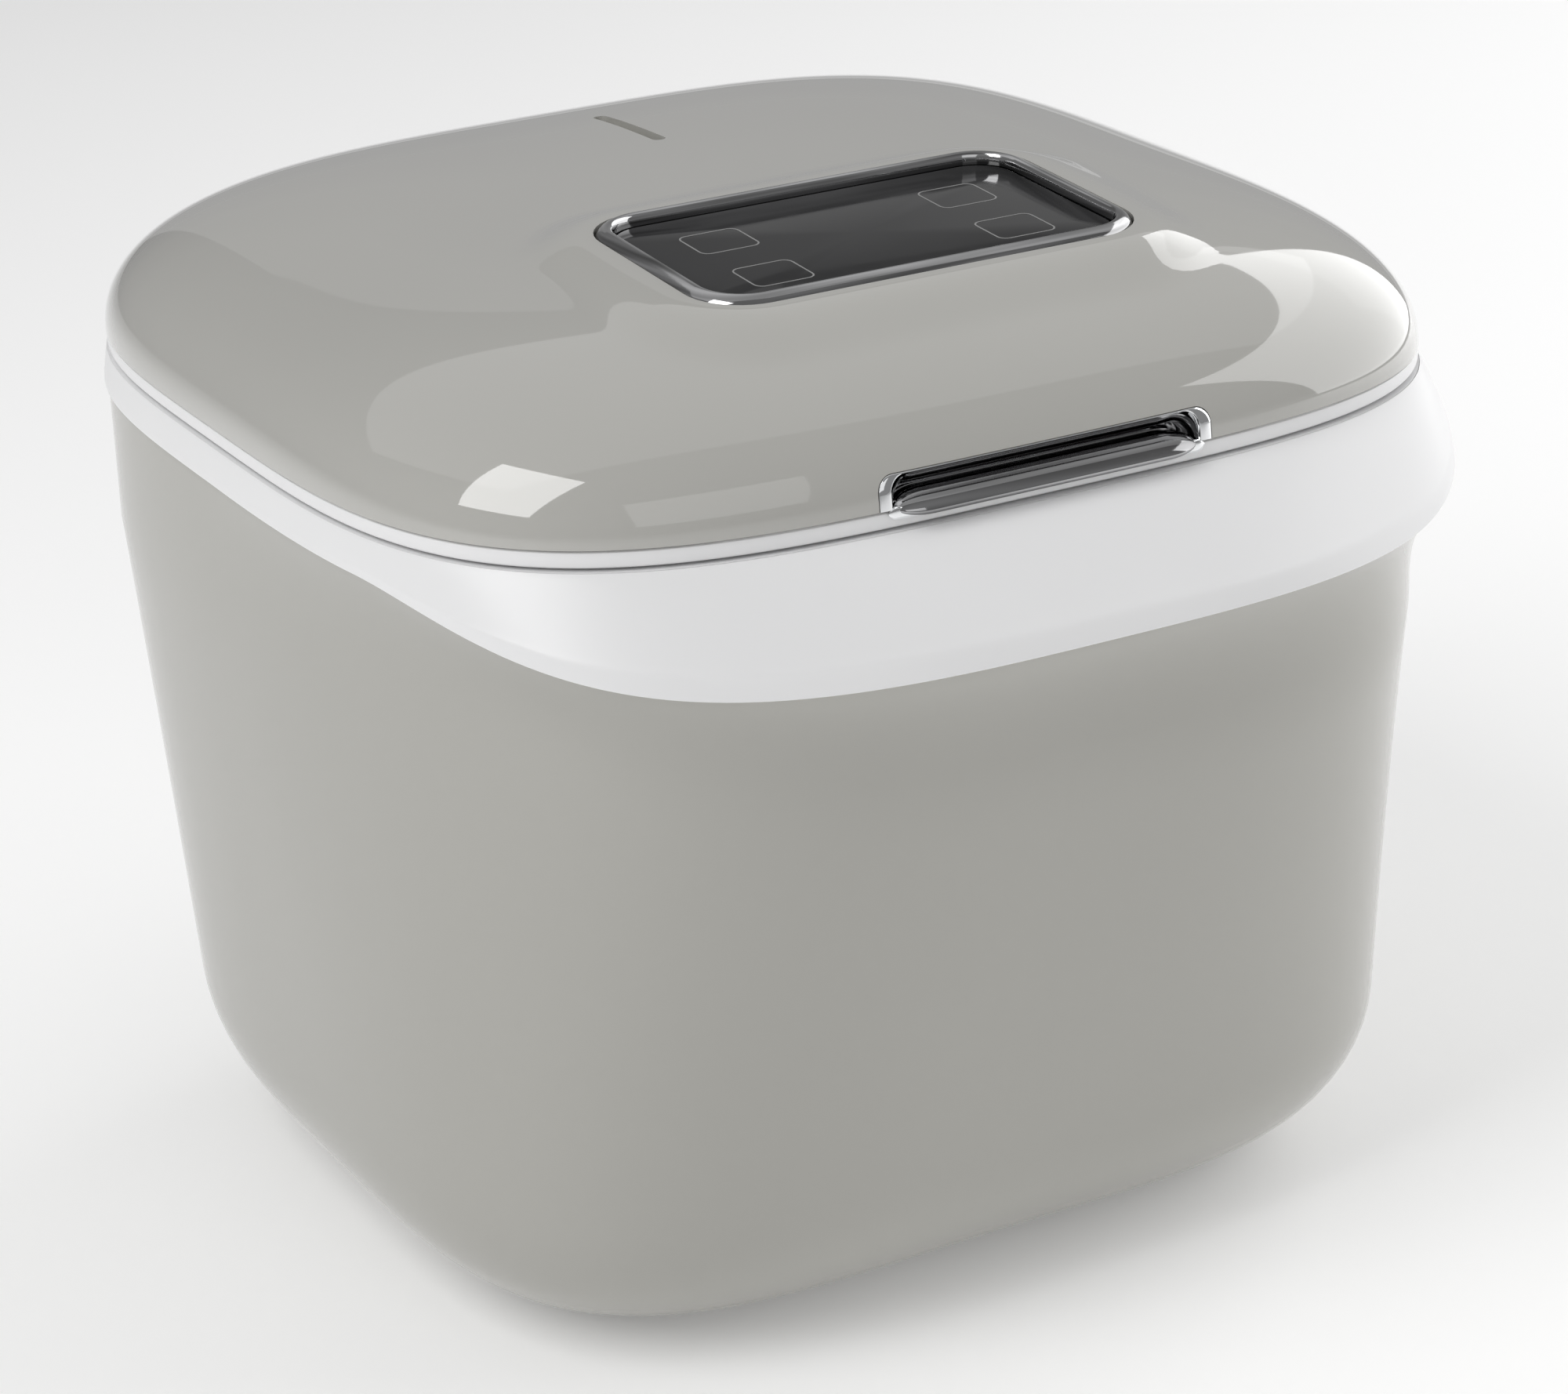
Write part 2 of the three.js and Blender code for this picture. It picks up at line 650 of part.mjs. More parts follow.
function basket() {
  const { x, cy, halfY, z0, z1, wire, foot } = BASKET;
  const along = barsAcross(5, 32);
  const across = barsAcross(5, 28).map((y) => cy + y);
  const sides = [-1, 1];
  const parts = [basketFloor(), ...[z0, z1 - wire].map(basketRing)];
  for (const side of sides) {
    for (const bx of along) parts.push(basketPost(bx, cy + side * (halfY - wire / 2)));
    for (const by of across) parts.push(basketPost(side * (x - wire / 2), by));
    for (const by of [cy - 28, cy + 28])
      parts.push(box(side * 80 - 2, side * 80 + 2, by - 2, by + 2, foot, z0 + 2));
    for (const end of sides) parts.push(basketEar(side, cy + end * (BAIL.span + 2.6)));
  }
  return join(...parts);
}

// A small plate on the rim with a hole for a handle's end.
function basketEar(side, y) {
  const { x, z1 } = BASKET;
  const [x0, x1] = [side * (x - 1.5), side * (x + 5.4)].sort((a, b) => a - b);
  const tab = box(x0, x1, y - 1, y + 1, z1 - 3, BAIL.z + 3);
  return cut(tab, rodY(1.7, side * (x + BAIL.out), y - 3, y + 3, BAIL.z));
}

// A U of wire that lies in over the basket and swings up on two stub ends.
function basketHandle(side) {
  const { cy } = BASKET;
  const { z, span, out, gripX, half } = BAIL;
  const hx = side * (BASKET.x + out);
  const grip = side * gripX;
  const bar = (x0, x1, y0, y1) => box(Math.min(x0, x1), Math.max(x0, x1), y0, y1, z - half, z + half);
  const legs = [-1, 1].map((s) => bar(hx + side * half, grip, cy + s * span - half, cy + s * span + half));
  const ends = [-1, 1].map((s) => {
    const y = cy + s * span;
    return rodY(1.2, hx, Math.min(y, y + s * 5), Math.max(y, y + s * 5), z);
  });
  return join(...legs, ...ends, bar(grip - half, grip + half, cy - span - half, cy + span + half));
}

// ---------- hinges ----------
// Fills the space between a leaf and the body's curved back.
function bracketPad(x0, x1) {
  return cut(box(x0, x1, 140, 153, 203, 210.8), bodyBlank());
}

function hingeBracket(x) {
  const { y, z, r, pin } = HINGE;
  const ears = [
    [x - 16, x - 8.4],
    [x + 8.4, x + 16],
  ].map(([a, b]) => join(rodX(r, a, b, y, z, 16), box(a, b, 152.2, y, z - 12, z)));
  return cut(
    join(box(x - 16, x + 16, 152.2, 154.8, 203, z), bracketPad(x - 16, x + 16), ...ears),
    rodX(pin + GAP, x - 20, x + 20, y, z, 16),
    box(x - 8.4, x + 8.4, 150, 170, z - 6, z + 6),
  );
}

// The knuckle on the pin and the tongue that carries the lid.
function lidTongue(x0, x1) {
  const { y, z, r } = HINGE;
  return join(
    rodX(r, x0, x1, y, z, 16),
    box(x0, x1, y - 3.6, y, z - 1, RING_TOP + 3),
    box(x0, x1, 133, y, RING_TOP + 0.6, RING_TOP + 4.6),
  );
}

function hingeArm(x) {
  return cut(lidTongue(x - 8, x + 8), rodX(HINGE.pin + GAP, x - 20, x + 20, HINGE.y, HINGE.z, 16));
}

function hingePin(x) {
  return rodX(HINGE.pin, x - 17, x + 17, HINGE.y, HINGE.z, 16);
}

function damperBody() {
  const { y, z, r } = HINGE;
  const leaf = join(box(-22, 6, 152.2, 154.8, 203, z - 6), bracketPad(-22, 6));
  const barrel = join(rodX(r, -22, 6, y, z, 16), box(-22, 6, 152.2, y, z - 12, z));
  return cut(join(barrel, leaf), rodX(2.2, -2, 10, y, z, 16));
}

function damperRotor() {
  return join(lidTongue(6.4, 20), rodX(1.9, 0, 8, HINGE.y, HINGE.z, 16));
}

// ---------- the lid ----------
// Where the dome's rings lie, as shares of the lid's radius.
const DOME_SHARES = [0.999, 0.985, 0.95, 0.88, 0.76, 0.62, 0.5, 0.34, 0.18];

function domeSolid(inset, z0, shares) {
  const rings = [
    (t) => [lidRadius(t) - inset, z0],
    ...shares.map((share) => (t) => {
      const r = (lidRadius(t) - inset) * share;
      return [r, domeZ(r * Math.cos(t), r * Math.sin(t), inset)];
    }),
  ];
  return loft(rings, "poles", [z0, domeZ(0, 0, inset)]);
}

function tilted(geometry) {
  return geometry.rotateX(PANEL.tilt).translate(0, PANEL.cy, PANEL.z);
}

function lidShell() {
  const outside = domeSolid(0, RING_TOP + GAP, DOME_SHARES);
  const inside = domeSolid(WALL, RING_TOP - 2, DOME_SHARES.filter((_, k) => k % 2));
  const opening = tilted(plate(PANEL.x + GAP, PANEL.y + GAP, PANEL.r, -30, 20));
  const window = plate(1.9 + GAP, STATUS.half + GAP, 2.1, 250, 280, 0, STATUS.y);
  const handle = handleBlock(0);
  const tails = [
    box(HINGE.x - 8.5, HINGE.x + 8.5, 130, 160, 220, RING_TOP + 5),
    box(-HINGE.x - 8.5, -HINGE.x + 8.5, 130, 160, 220, RING_TOP + 5),
    box(6, 20.5, 130, 160, 220, RING_TOP + 5),
  ];
  return cut(outside, inside, opening, window, handle, ...tails);
}

// The block of space that the handle's cup fills, with rounded upper corners.
function handleBlock(inset) {
  const back = -139.5 - inset;
  const made = plate(46 - inset, 12, 3, 0, 170 + back).rotateX(Math.PI / 2);
  return made.translate(0, back, 222.8 - inset);
}

function handleRecess() {
  const dome = domeSolid(0.2, RING_TOP + 0.6, DOME_SHARES);
  const cavity = box(-43.8, 43.8, -160, -141.2, 220, 232.9);
  const ears = [-40.4, 40.4].map((x) => box(x - 1.4, x + 1.4, -140.5, -134, 228, 233));
  const slots = [-32, 0, 32].map((x) => box(x - 5, x + 5, -150, -130, 224, 232.9));
  const bore = rodX(LIFT_BAR.pin + GAP, -50, 50, LIFT_BAR.y, LIFT_BAR.z, 12);
  return cut(join(common(dome, handleBlock(0.35)), ...ears), cavity, ...slots, bore);
}

// The bar that the fingers lift, its arms, and the middle arm that holds the switch in.
function liftBar() {
  const { y, z, pin, eye, half } = LIFT_BAR;
  const section = [
    [-142.4, 227],
    [-149.9, 227],
    [-150.2, 223.2],
    [-151.6, 223],
    [-152.9, 225.2],
    [-152.9, 228],
    [-151, 230],
    [-147.5, 230.6],
    [-142.4, 230.6],
  ];
  const arms = [-32, 0, 32].map((x) => box(x - 3, x + 3, -144, y, 228, 230.6));
  const eyes = [-32, 0, 32].map((x) => rodX(eye, x - 3, x + 3, y, z, 12));
  const tail = box(-3, 3, y, -127, 229.4, 231.4);
  const bore = rodX(pin + GAP, -50, 50, y, z, 12);
  return cut(join(profileX(section, -half, half), ...arms, ...eyes, tail), bore);
}

function liftSpring() {
  const { y, z, pin, eye } = LIFT_BAR;
  return cut(rodX(eye, 10, 22, y, z, 12), rodX(pin + GAP, 0, 40, y, z, 12));
}

function lidSwitch() {
  return join(box(-6, 6, -134, -122, 233, 240), rodZ(1.2, 0, -129.5, 231.8, 234, 8));
}

function lidRing() {
  const half = [
    [26, GROOVE_Z + 0.4],
    [26, RING_TOP],
    [0.7, RING_TOP],
    [0.2, RING_TOP - 1],
    [0.5, GROOVE_Z + 1],
    [1.2, GROOVE_Z + 0.4],
  ];
  return loft(half.map(([inset, z]) => (t) => [lidRadius(t) - inset, z]));
}

function lidLiner() {
  const skin = 1;
  const section = [
    [21, 226.4],
    [29, 226.4],
    [40, 245],
    [60, 248],
  ];
  const under = section.map(([inset, z]) => (t) => [lidRadius(t) - inset, z]);
  const over = section.map(([inset, z]) => (t) => [lidRadius(t) - inset + (inset > 25 ? 0.6 : 0), z + skin]);
  return loft([...under.reverse(), ...over], "poles", [248, 248 + skin]);
}

function panelPlate(inset, w0, w1) {
  return plate(PANEL.x - inset, PANEL.y - inset, PANEL.r - inset, w0, w1);
}

function panelBezel() {
  const made = join(panelPlate(0, -8, -1.6), panelPlate(0.9, -2, -0.7), panelPlate(1.9, -1, 0));
  return tilted(cut(made, panelPlate(PANEL.rim, -5.2, 5), panelPlate(PANEL.rim + 3.4, -12, 5)));
}

function panelGlass() {
  return tilted(panelPlate(PANEL.rim + GAP, -4.9, -3.2));
}

function displayBoard() {
  return tilted(plate(47, 24, 2, -12.4, -10.8));
}

function statusWindow() {
  return plate(1.9, STATUS.half, 1.8, 258, 262.4, 0, STATUS.y);
}

// ---------- assembly ----------
const product = new THREE.Group();
product.position.y = CENTRE_Y;

function add(name, geometry, look, x = 0, y = 0, z = 0) {
  const mesh = new THREE.Mesh(geometry, look);
  mesh.name = name;
  mesh.position.set(x, y, z);
  product.add(mesh);
  return mesh;
}

function addHousing() {
  add("body_shell", bodyShell(), GLOSS_GREY);
  add("base_plate", basePlate(), DARK_PLASTIC);
  add("collar", collar(), GLOSS_WHITE);
  add("chamber_seal", chamberSeal(), SILICONE);
  add("chamber_liner", chamberLiner(), STEEL);
  add("floor_grille", floorGrille(), STEEL);
  for (const [name, x, y] of [
    ["foot_front_left", -60, -58],
    ["foot_front_right", 60, -58],
    ["foot_rear_left", -60, 52],
    ["foot_rear_right", 60, 52],
  ])
    add(name, foot(), RUBBER, x, y);
  screwPlaces().forEach(([x, y], k) => add("base_screw_" + (k + 1), baseScrew(), STEEL, x, y, BODY_Z));
}

function addAir() {
  add("blower_housing", blowerHousing(), DARK_PLASTIC);
  add("blower_motor", blowerMotor(), STEEL);
  add("fan_impeller", fanImpeller(), WHITE_PLASTIC);
  add("fan_shaft", rodZ(1.5, BLOWER.x, BLOWER.y, 18, 46, 12), STEEL);
  add("heater_duct", heaterDuct(), DARK_PLASTIC);
  add("heater_core", heaterCore(), HEATER);
  add("main_board", mainBoard(), BOARD);
  add("power_inlet", powerInlet(), DARK_PLASTIC);
  add("exhaust_grille", exhaustGrille(), DARK_PLASTIC);
  add("filter_frame", filterFrame(), DARK_PLASTIC);
  add("air_filter", airFilter(), FOAM);
  add("filter_door", filterDoor(), DARK_PLASTIC);
}

function addLamps() {
  const { half, y, z } = LOWER_LAMP;
  add("lower_uv_lamp", lampTube(half, y, z), QUARTZ);
  add("lower_lamp_socket_left", lampSocket(-1, half, y, z, 73.6, 96), WHITE_PLASTIC);
  add("lower_lamp_socket_right", lampSocket(1, half, y, z, 73.6, 96), WHITE_PLASTIC);
  add("lower_lamp_guard", lampGuard(66, y, 73.6, 98.4), STEEL);
  const upper = UPPER_LAMP;
  add("upper_uv_lamp", lampTube(upper.half, upper.y, upper.z), QUARTZ);
  add("upper_lamp_socket_left", lampSocket(-1, upper.half, upper.y, upper.z, 228, 247.7), WHITE_PLASTIC);
  add("upper_lamp_socket_right", lampSocket(1, upper.half, upper.y, upper.z, 228, 247.7), WHITE_PLASTIC);
  add("upper_lamp_guard", lampGuard(75, upper.y, 247.7, 225.4), STEEL);
}

function addBasket() {
  add("basket", basket(), STEEL);
  add("basket_handle_left", basketHandle(-1), STEEL);
  add("basket_handle_right", basketHandle(1), STEEL);
}

function addHinges() {
  for (const [side, x] of [["left", -HINGE.x], ["right", HINGE.x]]) {
    add("hinge_bracket_" + side, hingeBracket(x), WHITE_PLASTIC);
    add("hinge_pin_" + side, hingePin(x), STEEL);
    add("hinge_arm_" + side, hingeArm(x), WHITE_PLASTIC);
  }
  add("damper_body", damperBody(), DARK_PLASTIC);
  add("damper_rotor", damperRotor(), DARK_PLASTIC);
}

function addLid() {
  add("lid_shell", lidShell(), GLOSS_GREY);
  add("lid_ring", lidRing(), GLOSS_WHITE);
  add("lid_liner", lidLiner(), STEEL);
  add("panel_bezel", panelBezel(), CHROME);
  add("panel_glass", panelGlass(), GLASS_BLACK);
  add("display_board", displayBoard(), BOARD);
  add("status_window", statusWindow(), AMBER);
  add("handle_recess", handleRecess(), CHROME);
  for (const [side, x] of [["left", -70], ["right", 70]]) {
    add("lid_magnet_" + side, box(x - 7, x + 7, -137, -130, RING_TOP + 0.4, RING_TOP + 3.4), STEEL);
  }
  add("magnet_keeper", box(-78, 78, -138, -130, 213, 214.4), STEEL);
}

function addLiftBar() {
  const { y, z, pin } = LIFT_BAR;
  add("lift_bar", liftBar(), CHROME);
  add("lift_bar_pin", rodX(pin, -41.6, 41.6, y, z, 12), STEEL);
  add("lift_bar_spring", liftSpring(), STEEL);
  add("lid_switch", lidSwitch(), DARK_PLASTIC);
}

addHousing();
addAir();
addLamps();
addBasket();
addHinges();
addLid();
addLiftBar();

export default product;
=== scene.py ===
"""Looks of the countertop steriliser and dryer box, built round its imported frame.

Sizes below are millimetres in the lid's frame: X to the right, -Y to the front, Z up from the
floor, with the lid's centre on the Z axis. Angles go round that axis, from +X to the back.
at() turns a point into the scene's metres.
"""
import json
import math

import bmesh
import bpy
from mathutils import Matrix, Vector

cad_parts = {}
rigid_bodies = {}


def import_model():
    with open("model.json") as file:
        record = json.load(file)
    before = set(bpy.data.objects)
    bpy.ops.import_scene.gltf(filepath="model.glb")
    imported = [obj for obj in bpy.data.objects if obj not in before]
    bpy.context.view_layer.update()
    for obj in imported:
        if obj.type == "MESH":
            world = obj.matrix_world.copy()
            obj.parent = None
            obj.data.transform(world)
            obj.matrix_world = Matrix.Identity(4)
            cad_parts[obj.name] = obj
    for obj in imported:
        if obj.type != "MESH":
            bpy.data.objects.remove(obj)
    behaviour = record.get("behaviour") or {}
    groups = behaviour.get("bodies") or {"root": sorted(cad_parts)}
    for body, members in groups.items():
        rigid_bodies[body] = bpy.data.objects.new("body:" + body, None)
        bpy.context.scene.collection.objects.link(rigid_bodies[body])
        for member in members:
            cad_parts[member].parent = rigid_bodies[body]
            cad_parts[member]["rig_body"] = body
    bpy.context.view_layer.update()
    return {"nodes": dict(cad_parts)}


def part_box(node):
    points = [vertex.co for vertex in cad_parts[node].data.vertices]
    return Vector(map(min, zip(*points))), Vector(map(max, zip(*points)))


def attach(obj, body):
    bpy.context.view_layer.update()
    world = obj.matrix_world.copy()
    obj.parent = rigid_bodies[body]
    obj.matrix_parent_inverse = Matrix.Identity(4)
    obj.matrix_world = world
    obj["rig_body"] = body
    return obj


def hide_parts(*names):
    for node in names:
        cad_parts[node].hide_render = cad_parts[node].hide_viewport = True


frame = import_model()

MM = 0.001


def cad_box(node):
    """A node's lowest and highest corner in millimetres, in the lid's frame."""
    low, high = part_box(node)
    return [Vector((p.x / MM, p.y / MM - CENTRE_Y, p.z / MM)) for p in (low, high)]


def at(point):
    """A point in the lid's frame, in metres in the scene."""
    return (point[0] * MM, (point[1] + CENTRE_Y) * MM, point[2] * MM)


# ---------- driving dimensions, from the frame where it has them ----------
RING_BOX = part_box("lid_ring")
CENTRE_Y = (RING_BOX[0].y + RING_BOX[1].y) / 2 / MM
RING_BOTTOM = RING_BOX[0].z / MM
RING_TOP = RING_BOX[1].z / MM
COLLAR_LOW, COLLAR_HIGH = cad_box("collar")
COLLAR_TOP = COLLAR_HIGH.z
BODY_Z = cad_box("body_shell")[0].z
WALL = 3.0
GAP = 0.3  # between pieces that lie on each other

# The lid is a superellipse in plan. Its dome's height follows (1 - rho**DOME_P) ** (1 / DOME_Q).
LID_HALF = 150.0
LID_EXPONENT = 3.68
DOME_HEIGHT = 39.9
DOME_P = 3.84
DOME_Q = 2.08

# The collar's lip stands out a little at the sides, and far out and down at the front.
APRON_FRONT = -COLLAR_LOW.y
APRON_EXPONENT = 2.95
APRON_WIDEN = 0.065  # share by which it would be wider than the lid at the very front
APRON_WIDEN_POWER = 1.5
SIDE_OUT = 1.5
GROOVE_Z = COLLAR_TOP + 0.3  # the shadow line under the lid's ring
SIDE_BAND = 9.45  # the collar's height at the sides
FRONT_DROP = 17.3  # how much lower the lip is at the front
DROP_START = -80.0  # Y from which it drops

# The body tucks in under the lip, tapers down and ends in a fillet round an open floor.
BODY_IN = 1.0  # inside the lip
FLARE_IN = 11.4  # the tuck at the front
FLARE_HEIGHT = 37.5
FLARE_START = 30.0  # Y from which it grows
BASE_HALF_WIDTH = 142.4
BASE_FRONT = 132.8
BASE_FRONT_EXPONENT = 3.74
BASE_BACK = 125.0
BASE_BACK_EXPONENT = 3.5
BASE_FILLET = 42.5
FLOOR_HALF_WIDTH = 97.0
FLOOR_FRONT = 87.5
FLOOR_BACK = 80.0
FLOOR_EXPONENT = 2.9
FLOOR_LEDGE = 12.0  # width of the ledge over the base plate's edge

# The touch panel lies on a tilted plane, and the dome rises to it.
PANEL_X = cad_box("panel_bezel")[1].x
PANEL_Y = 37.2
PANEL_R = 15.0
PANEL_CY = -65.4
PANEL_Z = 268.7
PANEL_TILT = math.radians(3.1)
GLASS_W = -3.2  # the glass's face, off that plane
FAIRING_REACH = 22.0  # from the panel's edge out to where the rise starts
FAIRING_DROP = 1.5  # from the plane down to the dome beside the panel
STATUS_LOW, STATUS_HIGH = cad_box("status_window")

AROUND = 360  # points in a loop round the lid's axis
ANGLES = [2 * math.pi * k / AROUND for k in range(AROUND)]
SHARP = 32  # degrees between two faces that keep their edge


# ---------- outlines, as radius against the angle round the lid's centre ----------
def superellipse(angle, a, b, n):
    """A superellipse's radius at an angle, for half axes a and b."""
    c = abs(math.cos(angle)) / a
    s = abs(math.sin(angle)) / b
    return (c**n + s**n) ** (-1 / n)


def clamped(t):
    return min(1.0, max(0.0, t))


def smooth(t):
    """Rises from 0 to 1 with no slope at its ends."""
    k = clamped(t)
    return k * k * (3 - 2 * k)


def smoother(t):
    """Rises from 0 to 1 with no slope and no bend at its ends."""
    k = clamped(t)
    return k * k * k * (k * (6 * k - 15) + 10)


def lid_radius(angle):
    return superellipse(angle, LID_HALF, LID_HALF, LID_EXPONENT)


def lip_radius(angle):
    """The collar's lip, which grows into the apron towards the front."""
    frontness = -math.sin(angle)
    if frontness <= 0:
        return lid_radius(angle) + SIDE_OUT
    r = superellipse(angle, LID_HALF, APRON_FRONT, APRON_EXPONENT)
    for _ in range(4):  # the widening depends on the radius that it changes
        widening = APRON_WIDEN * (r * frontness / APRON_FRONT) ** APRON_WIDEN_POWER
        r = superellipse(angle, LID_HALF * (1 + widening), APRON_FRONT, APRON_EXPONENT)
    return r + SIDE_OUT * (1 - smooth(frontness * 2))


def lip_z(angle):
    """Height of the collar's lower edge."""
    y = lip_radius(angle) * math.sin(angle)
    drop = smooth((DROP_START - y) / (DROP_START + APRON_FRONT))
    return GROOVE_Z - SIDE_BAND - FRONT_DROP * drop


def flare(angle):
    """How far the body tucks in under the lip."""
    y = lip_radius(angle) * math.sin(angle)
    return FLARE_IN * smooth((FLARE_START - y) / (APRON_FRONT + FLARE_START))


def base_radius(angle):
    """The body's outline at its foot, before the fillet."""
    if math.sin(angle) >= 0:
        return superellipse(angle, BASE_HALF_WIDTH, BASE_BACK, BASE_BACK_EXPONENT)
    return superellipse(angle, BASE_HALF_WIDTH, BASE_FRONT, BASE_FRONT_EXPONENT)


def floor_radius(angle):
    """The opening in the body's floor, which the base plate fills."""
    reach = FLOOR_FRONT if math.sin(angle) < 0 else FLOOR_BACK
    return superellipse(angle, FLOOR_HALF_WIDTH, reach, FLOOR_EXPONENT)


def body_radius(angle, z):
    """The body's outside at a height: curved over the tuck, then straight to the foot."""
    top = lip_z(angle) - GAP
    tuck = flare(angle)
    top_radius = lip_radius(angle) - BODY_IN
    flare_end = top - FLARE_HEIGHT
    if z >= flare_end:
        depth = clamped((top - z) / FLARE_HEIGHT)
        return top_radius - tuck * (1 - (1 - depth) ** 3)
    share = (flare_end - z) / (flare_end - BODY_Z)
    return top_radius - tuck + (base_radius(angle) - top_radius + tuck) * share


def dome_z(x, y, inset=0.0):
    """Height of the dome, with the fairing that rises to the panel."""
    angle = math.atan2(y, x)
    rho = min(1.0, math.hypot(x, y) / (lid_radius(angle) - inset))
    plain = RING_TOP + (DOME_HEIGHT - inset) * (1 - rho**DOME_P) ** (1 / DOME_Q)
    dx = max(0.0, abs(x) - PANEL_X + PANEL_R)
    dy = max(0.0, abs(y - PANEL_CY) - PANEL_Y + PANEL_R)
    outside = max(0.0, math.hypot(dx, dy) - PANEL_R)
    fairing = PANEL_Z + (y - PANEL_CY) * math.tan(PANEL_TILT) - FAIRING_DROP - inset
    return plain + (fairing - plain) * (1 - smoother(outside / FAIRING_REACH))


def dome_front_y(x, z):
    """Where the dome's front surface stands at a height, by halving the 50 mm behind its edge."""
    low, high = -LID_HALF, -100.0
    for _ in range(24):
        y = (low + high) / 2
        if dome_z(x, y) < z:
            low = y
        else:
            high = y
    return low


# ---------- mesh making ----------
def face_outwards(mesh):
    work = bmesh.new()
    work.from_mesh(mesh)
    bmesh.ops.recalc_face_normals(work, faces=work.faces)
    work.to_mesh(mesh)
    work.free()


def linked(name, data):
    """A new object in the scene."""
    made = bpy.data.objects.new(name, data)
    bpy.context.scene.collection.objects.link(made)
    return made


def shown(name, data, body, replaces):
    """A piece that rides on a body and stands for the nodes it replaces."""
    piece = linked(name, data)
    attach(piece, body)
    if replaces:
        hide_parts(*replaces)
    return piece


def finished(name, mesh, material, body, replaces=(), sharp=SHARP):
    """A shown piece from a mesh, faced outwards and smooth but for its sharp edges."""
    face_outwards(mesh)
    mesh.shade_smooth()
    mesh.set_sharp_from_angle(angle=math.radians(sharp))
    mesh.materials.clear()
    mesh.materials.append(material)
    return shown(name, mesh, body, replaces)


def skin(loops, ends="ring", tips=None):
    """A mesh through loops of equal length. Ends 'ring' joins the last loop to the first; 'fill'
    closes each end round its centre, or round its own point of the two tips."""
    count = len(loops[0])
    points = [at(p) for loop in loops for p in loop]
    faces = []
    rows = len(loops) if ends == "ring" else len(loops) - 1
    for k in range(rows):
        a, b = k * count, ((k + 1) % len(loops)) * count
        for i in range(count):
            j = (i + 1) % count
            faces.append((a + i, a + j, b + j, b + i))
    if ends == "fill":
        for end, start in enumerate((0, (len(loops) - 1) * count)):
            ring = points[start:start + count]
            tip = len(points)
            faces += [(start + i, start + (i + 1) % count, tip) for i in range(count)]
            centre = tuple(sum(p[k] for p in ring) / count for k in range(3))
            points.append(at(tips[end]) if tips else centre)
    mesh = bpy.data.meshes.new("skin")
    mesh.from_pydata(points, [], faces)
    return mesh


def polar(radius, height):
    """A loop round the lid's axis; radius and height are functions of the angle, or numbers."""
    loop = []
    for t in ANGLES:
        r = radius(t) if callable(radius) else radius
        z = height(t) if callable(height) else height
        loop.append((r * math.cos(t), r * math.sin(t), z))
    return loop


def lid_loop(inset, z):
    """The lid's outline, drawn in by inset."""
    return polar(lambda t: lid_radius(t) - inset, z)


def rounded(half_x, half_y, r, steps=8):
    """A rounded rectangle's outline about the origin."""
    r = min(r, half_x, half_y)
    corners = ((1, -1, -90), (1, 1, 0), (-1, 1, 90), (-1, -1, 180))
    points = []
    for sx, sy, start in corners:
        for k in range(steps + 1):
            turn = math.radians(start + 90 * k / steps)
            x = sx * (half_x - r) + r * math.cos(turn)
            y = sy * (half_y - r) + r * math.sin(turn)
            points.append((x, y))
    return points


def closed_spline(points, steps):
    """A smooth closed outline through 2-D points, as a Catmull-Rom spline."""
    made = []
    count = len(points)
    for k in range(count):
        p0, p1, p2, p3 = (Vector(points[(k + j - 1) % count]) for j in range(4))
        for i in range(steps):
            t = i / steps
            made.append(tuple(0.5 * (
                2 * p1 + (p2 - p0) * t + (2 * p0 - 5 * p1 + 4 * p2 - p3) * t**2
                + (3 * p1 - p0 - 3 * p2 + p3) * t**3
            )))
    return made


def carve(piece, *cutters):
    """Cuts solids out of a piece, keeping its material."""
    for tool in cutters:
        modifier = piece.modifiers.new("cut", "BOOLEAN")
        modifier.object = tool
        modifier.solver = "EXACT"
    graph = bpy.context.evaluated_depsgraph_get()
    cut = bpy.data.meshes.new_from_object(piece.evaluated_get(graph))
    piece.modifiers.clear()
    piece.data = cut
    cut.set_sharp_from_angle(angle=math.radians(SHARP))
    for tool in cutters:
        bpy.data.objects.remove(tool)


def cutter(mesh):
    """A solid for carve(), which removes it again."""
    tool = linked("cutter", mesh)
    face_outwards(mesh)
    return tool


def box_mesh(low, high):
    (x0, y0, z0), (x1, y1, z1) = low, high
    loops = [[(x0, y0, z), (x1, y0, z), (x1, y1, z), (x0, y1, z)] for z in (z0, z1)]
    return skin(loops, "fill")


def turns(steps):
    """Angles of equal steps round a circle."""
    return [2 * math.pi * k / steps for k in range(steps)]


def lathe_x(profile, y, z, steps=40):
    """A turned solid about an axis along X; profile is [x, radius] from end to end."""
    loops = []
    for x, r in profile:
        loops.append([(x, y + r * math.cos(t), z + r * math.sin(t)) for t in turns(steps)])
    return skin(loops, "fill")


def lathe_z(profile, x, y, steps=48):
    """A turned solid about an upright axis; profile is [radius, z] from end to end."""
    loops = []
    for r, z in profile:
        loops.append([(x + r * math.cos(t), y + r * math.sin(t), z) for t in turns(steps)])
    return skin(loops, "fill")


MERGE = 1e-6  # metres between corners that are one corner
FLAT = math.radians(1.5)  # between faces that are one face
EDGE_BEVEL = 0.3


